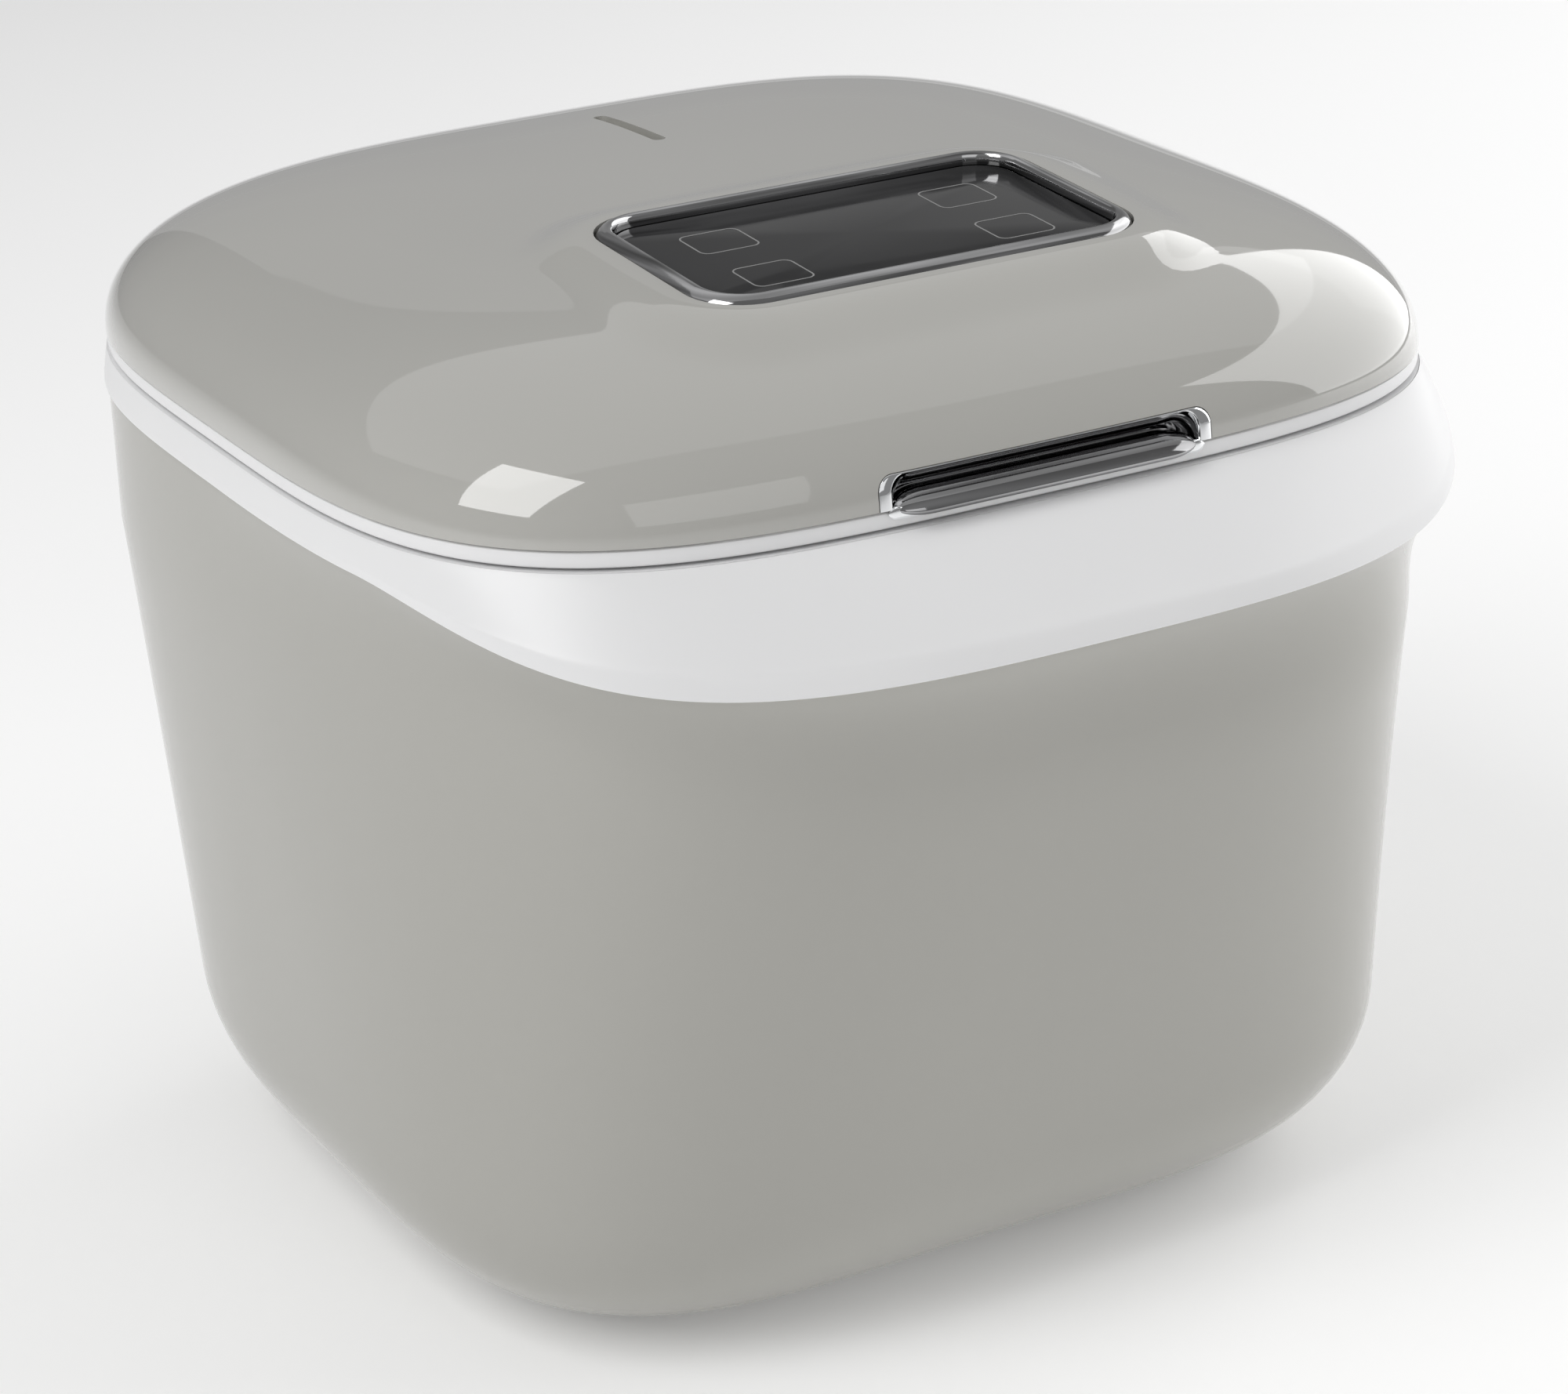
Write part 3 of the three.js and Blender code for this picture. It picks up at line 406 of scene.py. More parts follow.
def refined(node, material):
    """A copy of a frame part with its edges broken by a small bevel."""
    source = frame["nodes"][node]
    mesh = source.data.copy()
    work = bmesh.new()
    work.from_mesh(mesh)
    bmesh.ops.remove_doubles(work, verts=work.verts, dist=MERGE)
    bmesh.ops.dissolve_limit(
        work, angle_limit=FLAT, use_dissolve_boundaries=False,
        verts=work.verts, edges=work.edges,
    )
    shared = [e for e in work.edges if len(e.link_faces) == 2]
    edges = [e for e in shared if e.calc_face_angle(0) > math.radians(SHARP)]
    bmesh.ops.bevel(
        work, geom=edges, offset=EDGE_BEVEL * MM, offset_type="OFFSET", segments=2,
        profile=0.6, affect="EDGES", clamp_overlap=True,
    )
    work.to_mesh(mesh)
    work.free()
    return finished(node + "_piece", mesh, material, source["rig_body"], (node,))


def wires(name, paths, radius, material, body, replaces=()):
    """Round wires along paths; each path is (points, closed)."""
    curve = bpy.data.curves.new(name, "CURVE")
    curve.dimensions = "3D"
    curve.bevel_depth = radius * MM
    curve.bevel_resolution = 3
    curve.use_fill_caps = True
    for points, closed in paths:
        spline = curve.splines.new("POLY")
        spline.points.add(len(points) - 1)
        for knot, point in zip(spline.points, points):
            knot.co = (*at(point), 1)
        spline.use_cyclic_u = closed
        spline.use_smooth = True
    curve.materials.append(material)
    return shown(name, curve, body, replaces)


def bend(points, radius, steps=6):
    """Rounds the inner corners of an open path."""
    made = [points[0]]
    for before, corner, after in zip(points, points[1:], points[2:]):
        p, q, r = Vector(before), Vector(corner), Vector(after)
        cut = min(radius, (p - q).length / 2, (r - q).length / 2)
        start, end = q + (p - q).normalized() * cut, q + (r - q).normalized() * cut
        for k in range(steps + 1):
            t = k / steps
            made.append(tuple(start * (1 - t) ** 2 + q * (2 * t * (1 - t)) + end * t**2))
    return made + [points[-1]]


# ---------- camera, at the photograph's viewing angle ----------
CAMERA_AZIMUTH = math.radians(-27.67)
CAMERA_ELEVATION = math.radians(20.59)
CAMERA_ROLL = math.radians(-2.5)
CAMERA_DISTANCE = 1180.8
CAMERA_AIM_Z = 153.0
CAMERA_LENS = 101.38
CAMERA_SHIFT_X = 0.0177
CAMERA_SHIFT_Y = -0.0734


def direction(azimuth, elevation):
    """Away from the object; azimuth 0 is its front and grows to the right."""
    return Vector((
        math.sin(azimuth) * math.cos(elevation),
        -math.cos(azimuth) * math.cos(elevation),
        math.sin(elevation),
    ))


def add_camera():
    back = direction(CAMERA_AZIMUTH, CAMERA_ELEVATION)
    right = Vector((math.cos(CAMERA_AZIMUTH), math.sin(CAMERA_AZIMUTH), 0))
    up = back.cross(right)
    turned_right = right * math.cos(CAMERA_ROLL) + up * math.sin(CAMERA_ROLL)
    turned_up = up * math.cos(CAMERA_ROLL) - right * math.sin(CAMERA_ROLL)
    data = bpy.data.cameras.new("camera")
    data.sensor_width = 36
    data.lens = CAMERA_LENS
    data.shift_x = CAMERA_SHIFT_X
    data.shift_y = CAMERA_SHIFT_Y
    camera = linked("camera", data)
    rotation = Matrix((turned_right, turned_up, back)).transposed()
    place = Vector(at((0, 0, CAMERA_AIM_Z))) + back * CAMERA_DISTANCE * MM
    camera.matrix_world = Matrix.Translation(place) @ rotation.to_4x4()
    bpy.context.scene.camera = camera


add_camera()


# ---------- materials ----------
MIX_A, MIX_B, MIX_RESULT = 6, 7, 2  # the colour sockets of a Mix node
NOISE_LOW, NOISE_HIGH = 0.3, 0.7  # most of a noise's values lie between these


class Look:
    """A Principled material with helpers that add procedural detail in the piece's own space."""

    def __init__(self, name, color, roughness, metallic=0.0, **sockets):
        self.material = bpy.data.materials.new(name)
        self.material.use_nodes = True
        self.tree = self.material.node_tree
        self.shader = self.tree.nodes["Principled BSDF"]
        self.shader.inputs["Base Color"].default_value = (*color, 1)
        self.shader.inputs["Roughness"].default_value = roughness
        self.shader.inputs["Metallic"].default_value = metallic
        for socket, value in sockets.items():
            self.shader.inputs[socket.replace("_", " ")].default_value = value
        self.color = color
        self.coords = self.tree.nodes.new("ShaderNodeTexCoord")
        self.height = None

    def noise(self, scale, detail=3.0, stretch=(1, 1, 1)):
        """Noise whose features are about 1/scale metres across."""
        mapping = self.tree.nodes.new("ShaderNodeMapping")
        mapping.inputs["Scale"].default_value = stretch
        noise = self.tree.nodes.new("ShaderNodeTexNoise")
        noise.inputs["Scale"].default_value = scale
        noise.inputs["Detail"].default_value = detail
        self.tree.links.new(self.coords.outputs["Object"], mapping.inputs["Vector"])
        self.tree.links.new(mapping.outputs["Vector"], noise.inputs["Vector"])
        return noise.outputs["Fac"]

    def ramp(self, source, low, high):
        """Maps a noise to the range between two numbers."""
        node = self.tree.nodes.new("ShaderNodeMapRange")
        node.inputs["From Min"].default_value = NOISE_LOW
        node.inputs["From Max"].default_value = NOISE_HIGH
        node.inputs["To Min"].default_value = low
        node.inputs["To Max"].default_value = high
        self.tree.links.new(source, node.inputs["Value"])
        return node.outputs["Result"]

    def tint(self, source, other):
        """Turns the base colour into another where the noise is high."""
        mix = self.tree.nodes.new("ShaderNodeMix")
        mix.data_type = "RGBA"
        mix.inputs[MIX_A].default_value = (*self.color, 1)
        mix.inputs[MIX_B].default_value = (*other, 1)
        factor = self.ramp(source, 0.0, 1.0)
        self.tree.links.new(factor, mix.inputs["Factor"])
        self.tree.links.new(mix.outputs[MIX_RESULT], self.shader.inputs["Base Color"])
        return self

    def polish(self, source, low, high):
        """Lets the roughness wander between two values."""
        self.tree.links.new(self.ramp(source, low, high), self.shader.inputs["Roughness"])
        return self

    def bump(self, source, strength, distance):
        """Adds a bump on top of the ones before it; distance is in millimetres."""
        node = self.tree.nodes.new("ShaderNodeBump")
        node.inputs["Strength"].default_value = strength
        node.inputs["Distance"].default_value = distance * MM
        self.tree.links.new(source, node.inputs["Height"])
        if self.height:
            self.tree.links.new(self.height, node.inputs["Normal"])
        self.height = node.outputs["Normal"]
        self.tree.links.new(self.height, self.shader.inputs["Normal"])
        return self


def darker(color, share):
    return tuple(c * share for c in color)


GREY = (0.425, 0.418, 0.389)
LID_GREY = (0.452, 0.446, 0.42)


def gloss_grey():
    look = Look("gloss_grey", LID_GREY, 0.05, Coat_Weight=1.0, Coat_Roughness=0.02)
    look.tint(look.noise(9, 2), darker(LID_GREY, 0.975))
    look.polish(look.noise(60, 5), 0.03, 0.06)
    return look.bump(look.noise(26, 1), 0.04, 0.12).material


def satin_grey():
    look = Look("satin_grey", GREY, 0.08, Specular_IOR_Level=0.38)
    look.tint(look.noise(7, 2), darker(GREY, 0.975))
    look.polish(look.noise(45, 4), 0.06, 0.11)
    return look.bump(look.noise(20, 1), 0.04, 0.14).material


def white_plastic(name="white_gloss", color=(0.83, 0.83, 0.835), roughness=0.32):
    look = Look(name, color, roughness)
    look.tint(look.noise(11, 2), darker(color, 0.98))
    look.polish(look.noise(30, 2), roughness - 0.02, roughness + 0.02)
    return look.bump(look.noise(420, 2), 0.06, 0.02).material


def chrome():
    look = Look("chrome", (0.83, 0.84, 0.85), 0.04, 1.0)
    look.polish(look.noise(120, 6), 0.025, 0.075)
    return look.bump(look.noise(160, 1), 0.03, 0.03).material


def painted_reflection_chrome(name, dark, light, scale, stretch=(0.03, 1, 1)):
    """Chrome with painted shade and painted reflections: a dark colour, so it mirrors the room dimly,
    with soft painted streaks, long along the axes that stretch makes small.
    """
    look = Look(name, (dark, dark, dark), 0.06, 1.0)
    # painted reflection streaks: the light colour over the dark one
    look.tint(look.noise(scale, 1, stretch), (light, light, light + 0.01))
    look.polish(look.noise(120, 6), 0.05, 0.12)
    return look.bump(look.noise(160, 1), 0.03, 0.03).material


def panel_glass():
    look = Look("panel_glass", (0.017, 0.017, 0.018), 0.05, Specular_IOR_Level=0.26)
    look.tint(look.noise(30, 3), (0.022, 0.022, 0.023))
    return look.polish(look.noise(150, 5), 0.04, 0.09).material


def key_line():
    look = Look("key_line", (0.27, 0.27, 0.27), 0.4)
    return look.tint(look.noise(400, 2), (0.22, 0.22, 0.22)).material


def smoked_window():
    look = Look("smoked_window", (0.2, 0.19, 0.15), 0.22)
    look.tint(look.noise(40, 2), (0.14, 0.135, 0.11))
    return look.bump(look.noise(900, 2), 0.1, 0.03).material


def brushed_steel(name="brushed_steel", stretch=(1, 1, 30)):
    look = Look(name, (0.58, 0.585, 0.59), 0.28, 1.0)
    brushing = look.noise(260, 4, stretch)
    look.tint(look.noise(14, 3), (0.5, 0.505, 0.515))
    look.polish(brushing, 0.2, 0.38)
    return look.bump(brushing, 0.1, 0.02).material


def wire_steel():
    look = Look("wire_steel", (0.66, 0.665, 0.67), 0.16, 1.0)
    look.polish(look.noise(180, 4), 0.1, 0.24)
    return look.bump(look.noise(300, 2), 0.05, 0.03).material


def dark_plastic():
    look = Look("dark_plastic", (0.036, 0.036, 0.038), 0.5)
    look.tint(look.noise(30, 3), (0.05, 0.05, 0.052))
    look.polish(look.noise(240, 3), 0.42, 0.6)
    return look.bump(look.noise(1100, 3), 0.35, 0.06).material


def rubber():
    look = Look("rubber", (0.022, 0.022, 0.022), 0.75)
    look.tint(look.noise(90, 3), (0.035, 0.034, 0.033))
    return look.bump(look.noise(900, 3), 0.4, 0.08).material


def silicone():
    look = Look("silicone", (0.5, 0.5, 0.485), 0.48, Subsurface_Weight=0.08)
    look.tint(look.noise(60, 2), (0.45, 0.45, 0.44))
    return look.bump(look.noise(700, 2), 0.15, 0.04).material


def quartz():
    look = Look("quartz", (0.72, 0.79, 0.88), 0.05, Coat_Weight=0.6, Coat_Roughness=0.03)
    look.tint(look.noise(35, 3, (0.3, 1, 1)), (0.8, 0.84, 0.89))
    return look.polish(look.noise(90, 3), 0.04, 0.12).material


def circuit_board():
    look = Look("circuit_board", (0.015, 0.13, 0.06), 0.35)
    look.tint(look.noise(500, 2, (1, 0.12, 1)), (0.03, 0.2, 0.1))
    return look.bump(look.noise(420, 3, (0.15, 1, 1)), 0.3, 0.06).material


def filter_felt():
    look = Look("filter_felt", (0.14, 0.145, 0.15), 0.95, Sheen_Weight=0.3)
    look.tint(look.noise(600, 4), (0.2, 0.205, 0.21))
    return look.bump(look.noise(1300, 4), 0.6, 0.2).material


def heater_metal():
    look = Look("heater_metal", (0.55, 0.47, 0.38), 0.4, 0.8)
    look.tint(look.noise(80, 3), (0.42, 0.36, 0.3))
    return look.bump(look.noise(700, 3), 0.25, 0.05).material


def floor_material():
    white = (1, 1, 1, 1)
    look = Look("studio_floor", (0.93, 0.93, 0.93), 0.55, Emission_Strength=0.16, Emission_Color=white)
    look.tint(look.noise(3, 2), (0.925, 0.925, 0.925))
    return look.bump(look.noise(500, 3), 0.05, 0.05).material


DOME_GREY = gloss_grey()
BODY_GREY = satin_grey()
WHITE = white_plastic()
WHITE_INNER = white_plastic("white_moulded", (0.74, 0.74, 0.72), 0.45)
CHROME = chrome()
# painted shade and painted reflections: the three chrome finishes below are darkened and streaked
BAR_CHROME_PAINTED_SHADE = painted_reflection_chrome("bar_chrome_painted_shade", 0.13, 0.55, 300)
CUP_CHROME_PAINTED_SHADE = painted_reflection_chrome("cup_chrome_painted_shade", 0.35, 0.8, 220)
RIM_CHROME_PAINTED_SHADE = painted_reflection_chrome("rim_chrome_painted_shade", 0.16, 0.62, 900, (0.02, 0.02, 1))
GLASS = panel_glass()
KEY_LINE = key_line()
WINDOW = smoked_window()
STEEL = brushed_steel()
STEEL_FLAT = brushed_steel("brushed_steel_flat", (30, 1, 1))
WIRE = wire_steel()
DARK = dark_plastic()
RUBBER = rubber()
SILICONE = silicone()
QUARTZ = quartz()
BOARD = circuit_board()
FELT = filter_felt()
HEATER = heater_metal()


# ---------- body, collar and lid ring ----------
def body_loop(offset, heights):
    """A loop inside the body's surface by offset, with a height at each angle."""
    loop = []
    for t, z in zip(ANGLES, heights):
        r = body_radius(t, z) - offset
        loop.append((r * math.cos(t), r * math.sin(t), z))
    return loop


def body_rings(offset, flare_steps, fillet_turns):
    """Loops down the body, from under the collar to the end of the bottom fillet."""
    loops = []
    for k in flare_steps:
        loops.append(body_loop(offset, [lip_z(t) - GAP - k * FLARE_HEIGHT for t in ANGLES]))
    bottom, levels = BODY_Z + BASE_FILLET, 9
    for share in [k / levels for k in range(1, levels)]:
        heights = [(lip_z(t) - GAP - FLARE_HEIGHT) * (1 - share) + bottom * share for t in ANGLES]
        loops.append(body_loop(offset, heights))
    for turn in fillet_turns:
        sine, cosine = math.sin(math.radians(turn)), math.cos(math.radians(turn))
        z = bottom - (BASE_FILLET - offset) * cosine
        reach = BASE_FILLET - (BASE_FILLET - offset) * sine
        loops.append(polar(lambda t: body_radius(t, z) - reach, z))
    return loops


def middle(node):
    low, high = cad_box(node)
    return (low + high) / 2


def back_opening(node, half_x, half_z):
    """A cutter through the back wall, for a piece that is set in it."""
    x, z = middle(node).x, middle(node).z
    inside, outside = 100, 200
    return cutter(box_mesh((x - half_x, inside, z - half_z), (x + half_x, outside, z + half_z)))


# node, and half the width and the height of its opening
BACK_OPENINGS = (("filter_frame", 43.5, 19), ("exhaust_grille", 50, 13), ("power_inlet", 14, 11))


def make_body():
    flare_steps = [0, 0.03, 0.07, 0.12, 0.18, 0.25, 0.33, 0.42, 0.52, 0.64, 0.78, 1]
    outer = body_rings(0, flare_steps, range(90, -1, -6))
    inner = body_rings(WALL, [0, 0.3, 0.6, 1], (90, 70, 50, 25))
    ledge = BODY_Z + WALL + GAP
    loops = outer + [
        polar(floor_radius, BODY_Z),
        polar(floor_radius, ledge),
        polar(lambda t: floor_radius(t) - FLOOR_LEDGE, ledge),
        polar(lambda t: floor_radius(t) - FLOOR_LEDGE, ledge + WALL),
    ] + inner[::-1]
    piece = finished("body_skin", skin(loops), BODY_GREY, "box", ("body_shell",))
    carve(piece, *[back_opening(*opening) for opening in BACK_OPENINGS])


def apron_loop(o, d, inset=0.0):
    """A loop on the collar: o from the lid's edge to the lip, d from its top to its foot."""
    loop = []
    for t in ANGLES:
        start = lid_radius(t) - inset
        end = lip_radius(t) - inset
        r = start + (end - start) * o
        z = COLLAR_TOP - inset + (lip_z(t) - COLLAR_TOP + inset) * d
        loop.append((r * math.cos(t), r * math.sin(t), z))
    return loop


def make_collar():
    # o and d of each loop: the shelf falls away slowly, and the lip turns down at its end
    shelf = [(o, 0.78 * (o / 0.9) ** 1.24) for o in (0.02 + 0.86 * k / 16 for k in range(17))]
    lip = [(0.895, 0.772), (0.91, 0.79), (0.925, 0.812), (0.938, 0.84), (0.96, 0.892), (0.98, 0.945),
           (0.993, 0.98), (0.998, 0.993), (0.995, 1.0)]
    # inset from the lid's outline and height, round the seal's channel
    channel = [(1.2, COLLAR_TOP), (15.6, COLLAR_TOP), (16, 217.8), (22.4, 217.8), (22.8, COLLAR_TOP),
               (24.4, COLLAR_TOP), (25, COLLAR_TOP - 0.6), (25, 212), (22.6, 212), (21, 214.8),
               (4.6, 214.8)]
    loops = [apron_loop(o, d) for o, d in reversed(shelf + lip)]
    loops += [apron_loop(0.004, 0.03), apron_loop(0.0, 0.004)]
    loops += [lid_loop(inset, z) for inset, z in channel]
    loops += [apron_loop(0.62, 0.5, 3), apron_loop(0.97, 0.97, 1.5)]
    finished("collar_skin", skin(loops), WHITE, "box", ("collar",))


def make_lid_ring():
    low, high = RING_BOTTOM, RING_TOP
    edge = [(26, low), (1.6, low), (0.9, low + 0.15), (0.45, low + 0.6), (0.3, low + 1.4),
            (0.25, high - 1.1), (0.4, high - 0.45), (0.85, high - 0.08), (1.4, high), (26, high)]
    loops = [lid_loop(inset, z) for inset, z in edge]
    finished("lid_ring_skin", skin(loops), WHITE, "lid", ("lid_ring",))


def make_seal():
    section = [(16.4, 218.1), (16.7, 219.6), (17.2, 220.6), (18.2, 221.1), (19.3, 221.2), (20.4, 221.0),
               (21.3, 220.4), (21.8, 219.4), (22.0, 218.1)]
    loops = [lid_loop(inset, z) for inset, z in section]
    finished("chamber_seal_skin", skin(loops), SILICONE, "box", ("chamber_seal",))


# ---------- lid ----------
def dome_loops(inset, foot, shares):
    """Loops up the dome from its foot, at shares of the lid's radius."""
    loops = [lid_loop(inset, foot)]
    for share in shares:
        loop = []
        for t in ANGLES:
            r = (lid_radius(t) - inset) * share
            x, y = r * math.cos(t), r * math.sin(t)
            loop.append((x, y, dome_z(x, y, inset)))
        loops.append(loop)
    return loops


def tilted(u, v, w):
    """A point on the panel's plane: u to the right, v to the back, w off the plane."""
    y = PANEL_CY + v * math.cos(PANEL_TILT) - w * math.sin(PANEL_TILT)
    return (u, y, PANEL_Z + v * math.sin(PANEL_TILT) + w * math.cos(PANEL_TILT))


def panel_loop(offset, w):
    """The panel's outline, drawn in by offset."""
    outline = rounded(PANEL_X - offset, PANEL_Y - offset, max(PANEL_R - offset, 1.0), 10)
    return [tilted(u, v, w) for u, v in outline]


CUP_HALF = 45.6
CUP_TOP = 234.4
CUP_BOTTOM = RING_TOP + 0.35
CUP_BACK = -141.2  # Y of its deepest face
CUP_R = 4.2  # corner radii of the cup and of the scoop in it
SCOOP_R = 6.5
ARM_X = (-32, 0, 32)  # the lift bar's arms, which pass through the cup
ARM_HALF, ARM_LOW, ARM_HIGH = 2.9, 226.2, 227.4
SLOT_HALF, SLOT_LOW, SLOT_HIGH = 3.2, 225.6, 228.6


def cup_loop(inset, end, r, y):
    """The handle cup's outline, drawn in from the top by inset and from its ends by end. It is a
    rounded box that is cut off flat above the ring."""
    half_z = (CUP_TOP - CUP_BOTTOM) / 2 + 4 - inset
    centre_z = CUP_TOP - inset - half_z
    loop = []
    for u, v in rounded(CUP_HALF - end, half_z, r):
        z = max(centre_z + v, CUP_BOTTOM + inset * 0.1)
        loop.append((u, y(u, z) if callable(y) else y, z))
    return loop


def make_dome():
    # shares of the radius, crowded where the dome turns down to the ring
    edge = [math.cos(math.radians(q)) ** (2 / DOME_P) for q in range(2, 35, 2)]
    centre = [0.895 - 0.0105 * k for k in range(84)]
    under = [0.999, 0.99, 0.97, 0.94] + [0.9 - 0.08 * k for k in range(11)]
    foot = RING_TOP + GAP
    loops = dome_loops(0, foot, edge + centre)[::-1] + dome_loops(WALL, foot, under)
    crowns = [(0, 0, dome_z(0, 0, inset)) for inset in (0.0, WALL)]
    mesh = skin(loops, "fill", crowns)
    piece = finished("lid_dome", mesh, DOME_GREY, "lid", ("lid_shell",))
    # each cutter runs from well inside the dome to well outside it
    panel = cutter(skin([panel_loop(-0.4, w) for w in (-30, 20)], "fill"))
    window = cutter(skin([status_loop(0, z) for z in (240, 280)], "fill"))
    handle = cutter(skin([cup_loop(-0.15, -0.15, 4.3, y) for y in (-175, -138.5)], "fill"))
    carve(piece, panel, window, handle)


def make_panel():
    # each pair is the distance in from the panel's outline and the height off its plane
    rim = [(0.05, -7.8), (0.05, -2.5), (0.2, -2.0), (0.55, -1.5), (1.1, -0.95), (1.8, -0.45),
           (2.5, -0.12), (3.1, 0.0), (3.6, -0.07), (3.95, -0.3), (4.25, -0.8), (4.45, -1.6),
           (4.55, -2.6), (4.6, -5.1), (7.9, -5.2), (7.9, -7.8)]
    mesh = skin([panel_loop(offset, w) for offset, w in rim])
    # painted shade and painted reflections: the rim's chrome is darkened and streaked
    finished("panel_rim", mesh, RIM_CHROME_PAINTED_SHADE, "lid", ("panel_bezel",))
    glass = [(4.95, -4.8), (4.95, GLASS_W - 0.25), (5.05, GLASS_W - 0.07), (5.3, GLASS_W)]
    mesh = skin([panel_loop(offset, w) for offset, w in glass], "fill")
    finished("panel_glass_plate", mesh, GLASS, "lid", ("panel_glass",))


# the keys' places and sizes on the panel's plane
KEY_X = 34
KEY_ROWS = (12.1, -15.4)
KEY_HALF_X = 8.25
KEY_HALF_Y = 7.5
KEY_R = 2.6
KEY_LINE_WIDTH = 0.46


def key_outline(name, cx, cy):
    """A thin printed outline on the glass."""
    low, high = GLASS_W + 0.005, GLASS_W + 0.04
    loops = []
    for offset, w in ((0, low), (0, high), (KEY_LINE_WIDTH, high), (KEY_LINE_WIDTH, low)):
        outline = rounded(KEY_HALF_X - offset, KEY_HALF_Y - offset, KEY_R - offset, 6)
        loops.append([tilted(cx + u, cy + v, w) for u, v in outline])
    finished(name, skin(loops), KEY_LINE, "lid")


def make_keys():
    places = [(sx * KEY_X, cy) for sx in (-1, 1) for cy in KEY_ROWS]
    for k, (cx, cy) in enumerate(places):
        key_outline(f"touch_key_{k + 1}", cx, cy)


def status_loop(inset, z):
    """The status window's outline, drawn in by inset."""
    low, high = STATUS_LOW, STATUS_HIGH
    middle_y = (low.y + high.y) / 2
    outline = rounded(high.x - inset, (high.y - low.y) / 2 - inset, high.x - inset)
    return [(u, v + middle_y, z) for u, v in outline]


def make_window():
    top = STATUS_HIGH.z
    loops = [status_loop(inset, top - drop) for inset, drop in ((0.1, 3.6), (0.1, 0.3), (0.4, 0.0))]
    finished("status_window_strip", skin(loops, "fill"), WINDOW, "lid", ("status_window",))


def make_handle_cup():
    """A chrome cup: a lip that is narrow along the top and broad at the ends, and a scooped back."""
    def behind(by):
        """Y on the dome's front, moved back by a distance."""
        return lambda x, z: dome_front_y(x, max(z, RING_TOP + 0.5)) + by

    # in each row: drawn in from the top, drawn in from the ends, and the distance behind the front
    lip = [(0.0, 0.0, 5), (0.0, 0.0, 0.25), (0.08, 0.12, -0.05), (0.18, 0.5, -0.18), (0.26, 2.6, -0.2),
           (0.36, 3.2, -0.06), (0.45, 3.45, 0.3)]
    loops = [cup_loop(inset, end, CUP_R, behind(by)) for inset, end, by in lip]
    loops += [cup_loop(0.6, 3.6, 5, behind(1.2)), cup_loop(0.45, 0.4, CUP_R, CUP_BACK)]
    finished("handle_cup", skin(loops), CHROME, "lid", ("handle_recess",))
    # the same, but with Y at the end
    scoop = [(4.6, 4.6, CUP_BACK), (4.3, 4.2, CUP_BACK - 0.6), (4.1, 4.1, -143.6), (3.6, 4.05, -144.9),
             (2.8, 3.95, -146.0), (1.9, 3.85, -146.9), (1.1, 3.7, -147.6), (0.55, 3.55, behind(0.45)),
             (0.5, 3.4, behind(1.2)), (1.1, 3.4, CUP_BACK + 0.4)]
    back = [cup_loop(inset, end, SCOOP_R, y) for inset, end, y in scoop]
    # painted shade: the scoop's chrome is darkened as if in shadow, with painted reflection streaks
    scooped = finished("handle_cup_back", skin(back, "fill"), CUP_CHROME_PAINTED_SHADE, "lid")
    half = SLOT_HALF
    slots = [box_mesh((x - half, -143, SLOT_LOW), (x + half, CUP_BACK + 2, SLOT_HIGH)) for x in ARM_X]
    carve(scooped, *[cutter(slot) for slot in slots])
    make_cup_lip()


def make_cup_lip():
    """The thin bright edge that the cup lays over the top of the white ring."""
    section = [(0.9, 0.9), (0.1, 0.85), (-0.3, 0.6), (-0.5, -0.2), (-0.5, -1.3), (-0.25, -2.1),
               (0.9, -2.2)]
    half, taper, steps = CUP_HALF - 2.2, 1.6, 64
    loops = []
    for k in range(steps + 1):
        x = half * math.sin(math.radians(-90 + 180 * k / steps))
        size = max(0.05, min(1.0, (half - abs(x)) / taper)) ** 0.5
        front = dome_front_y(x, RING_TOP + 0.5)
        loop = [(x, front + dy * size, RING_TOP - 0.5 + (dz + 0.5) * size) for dy, dz in section]
        loops.append(loop)
    finished("handle_cup_lip", skin(loops, "fill"), CHROME, "lid")


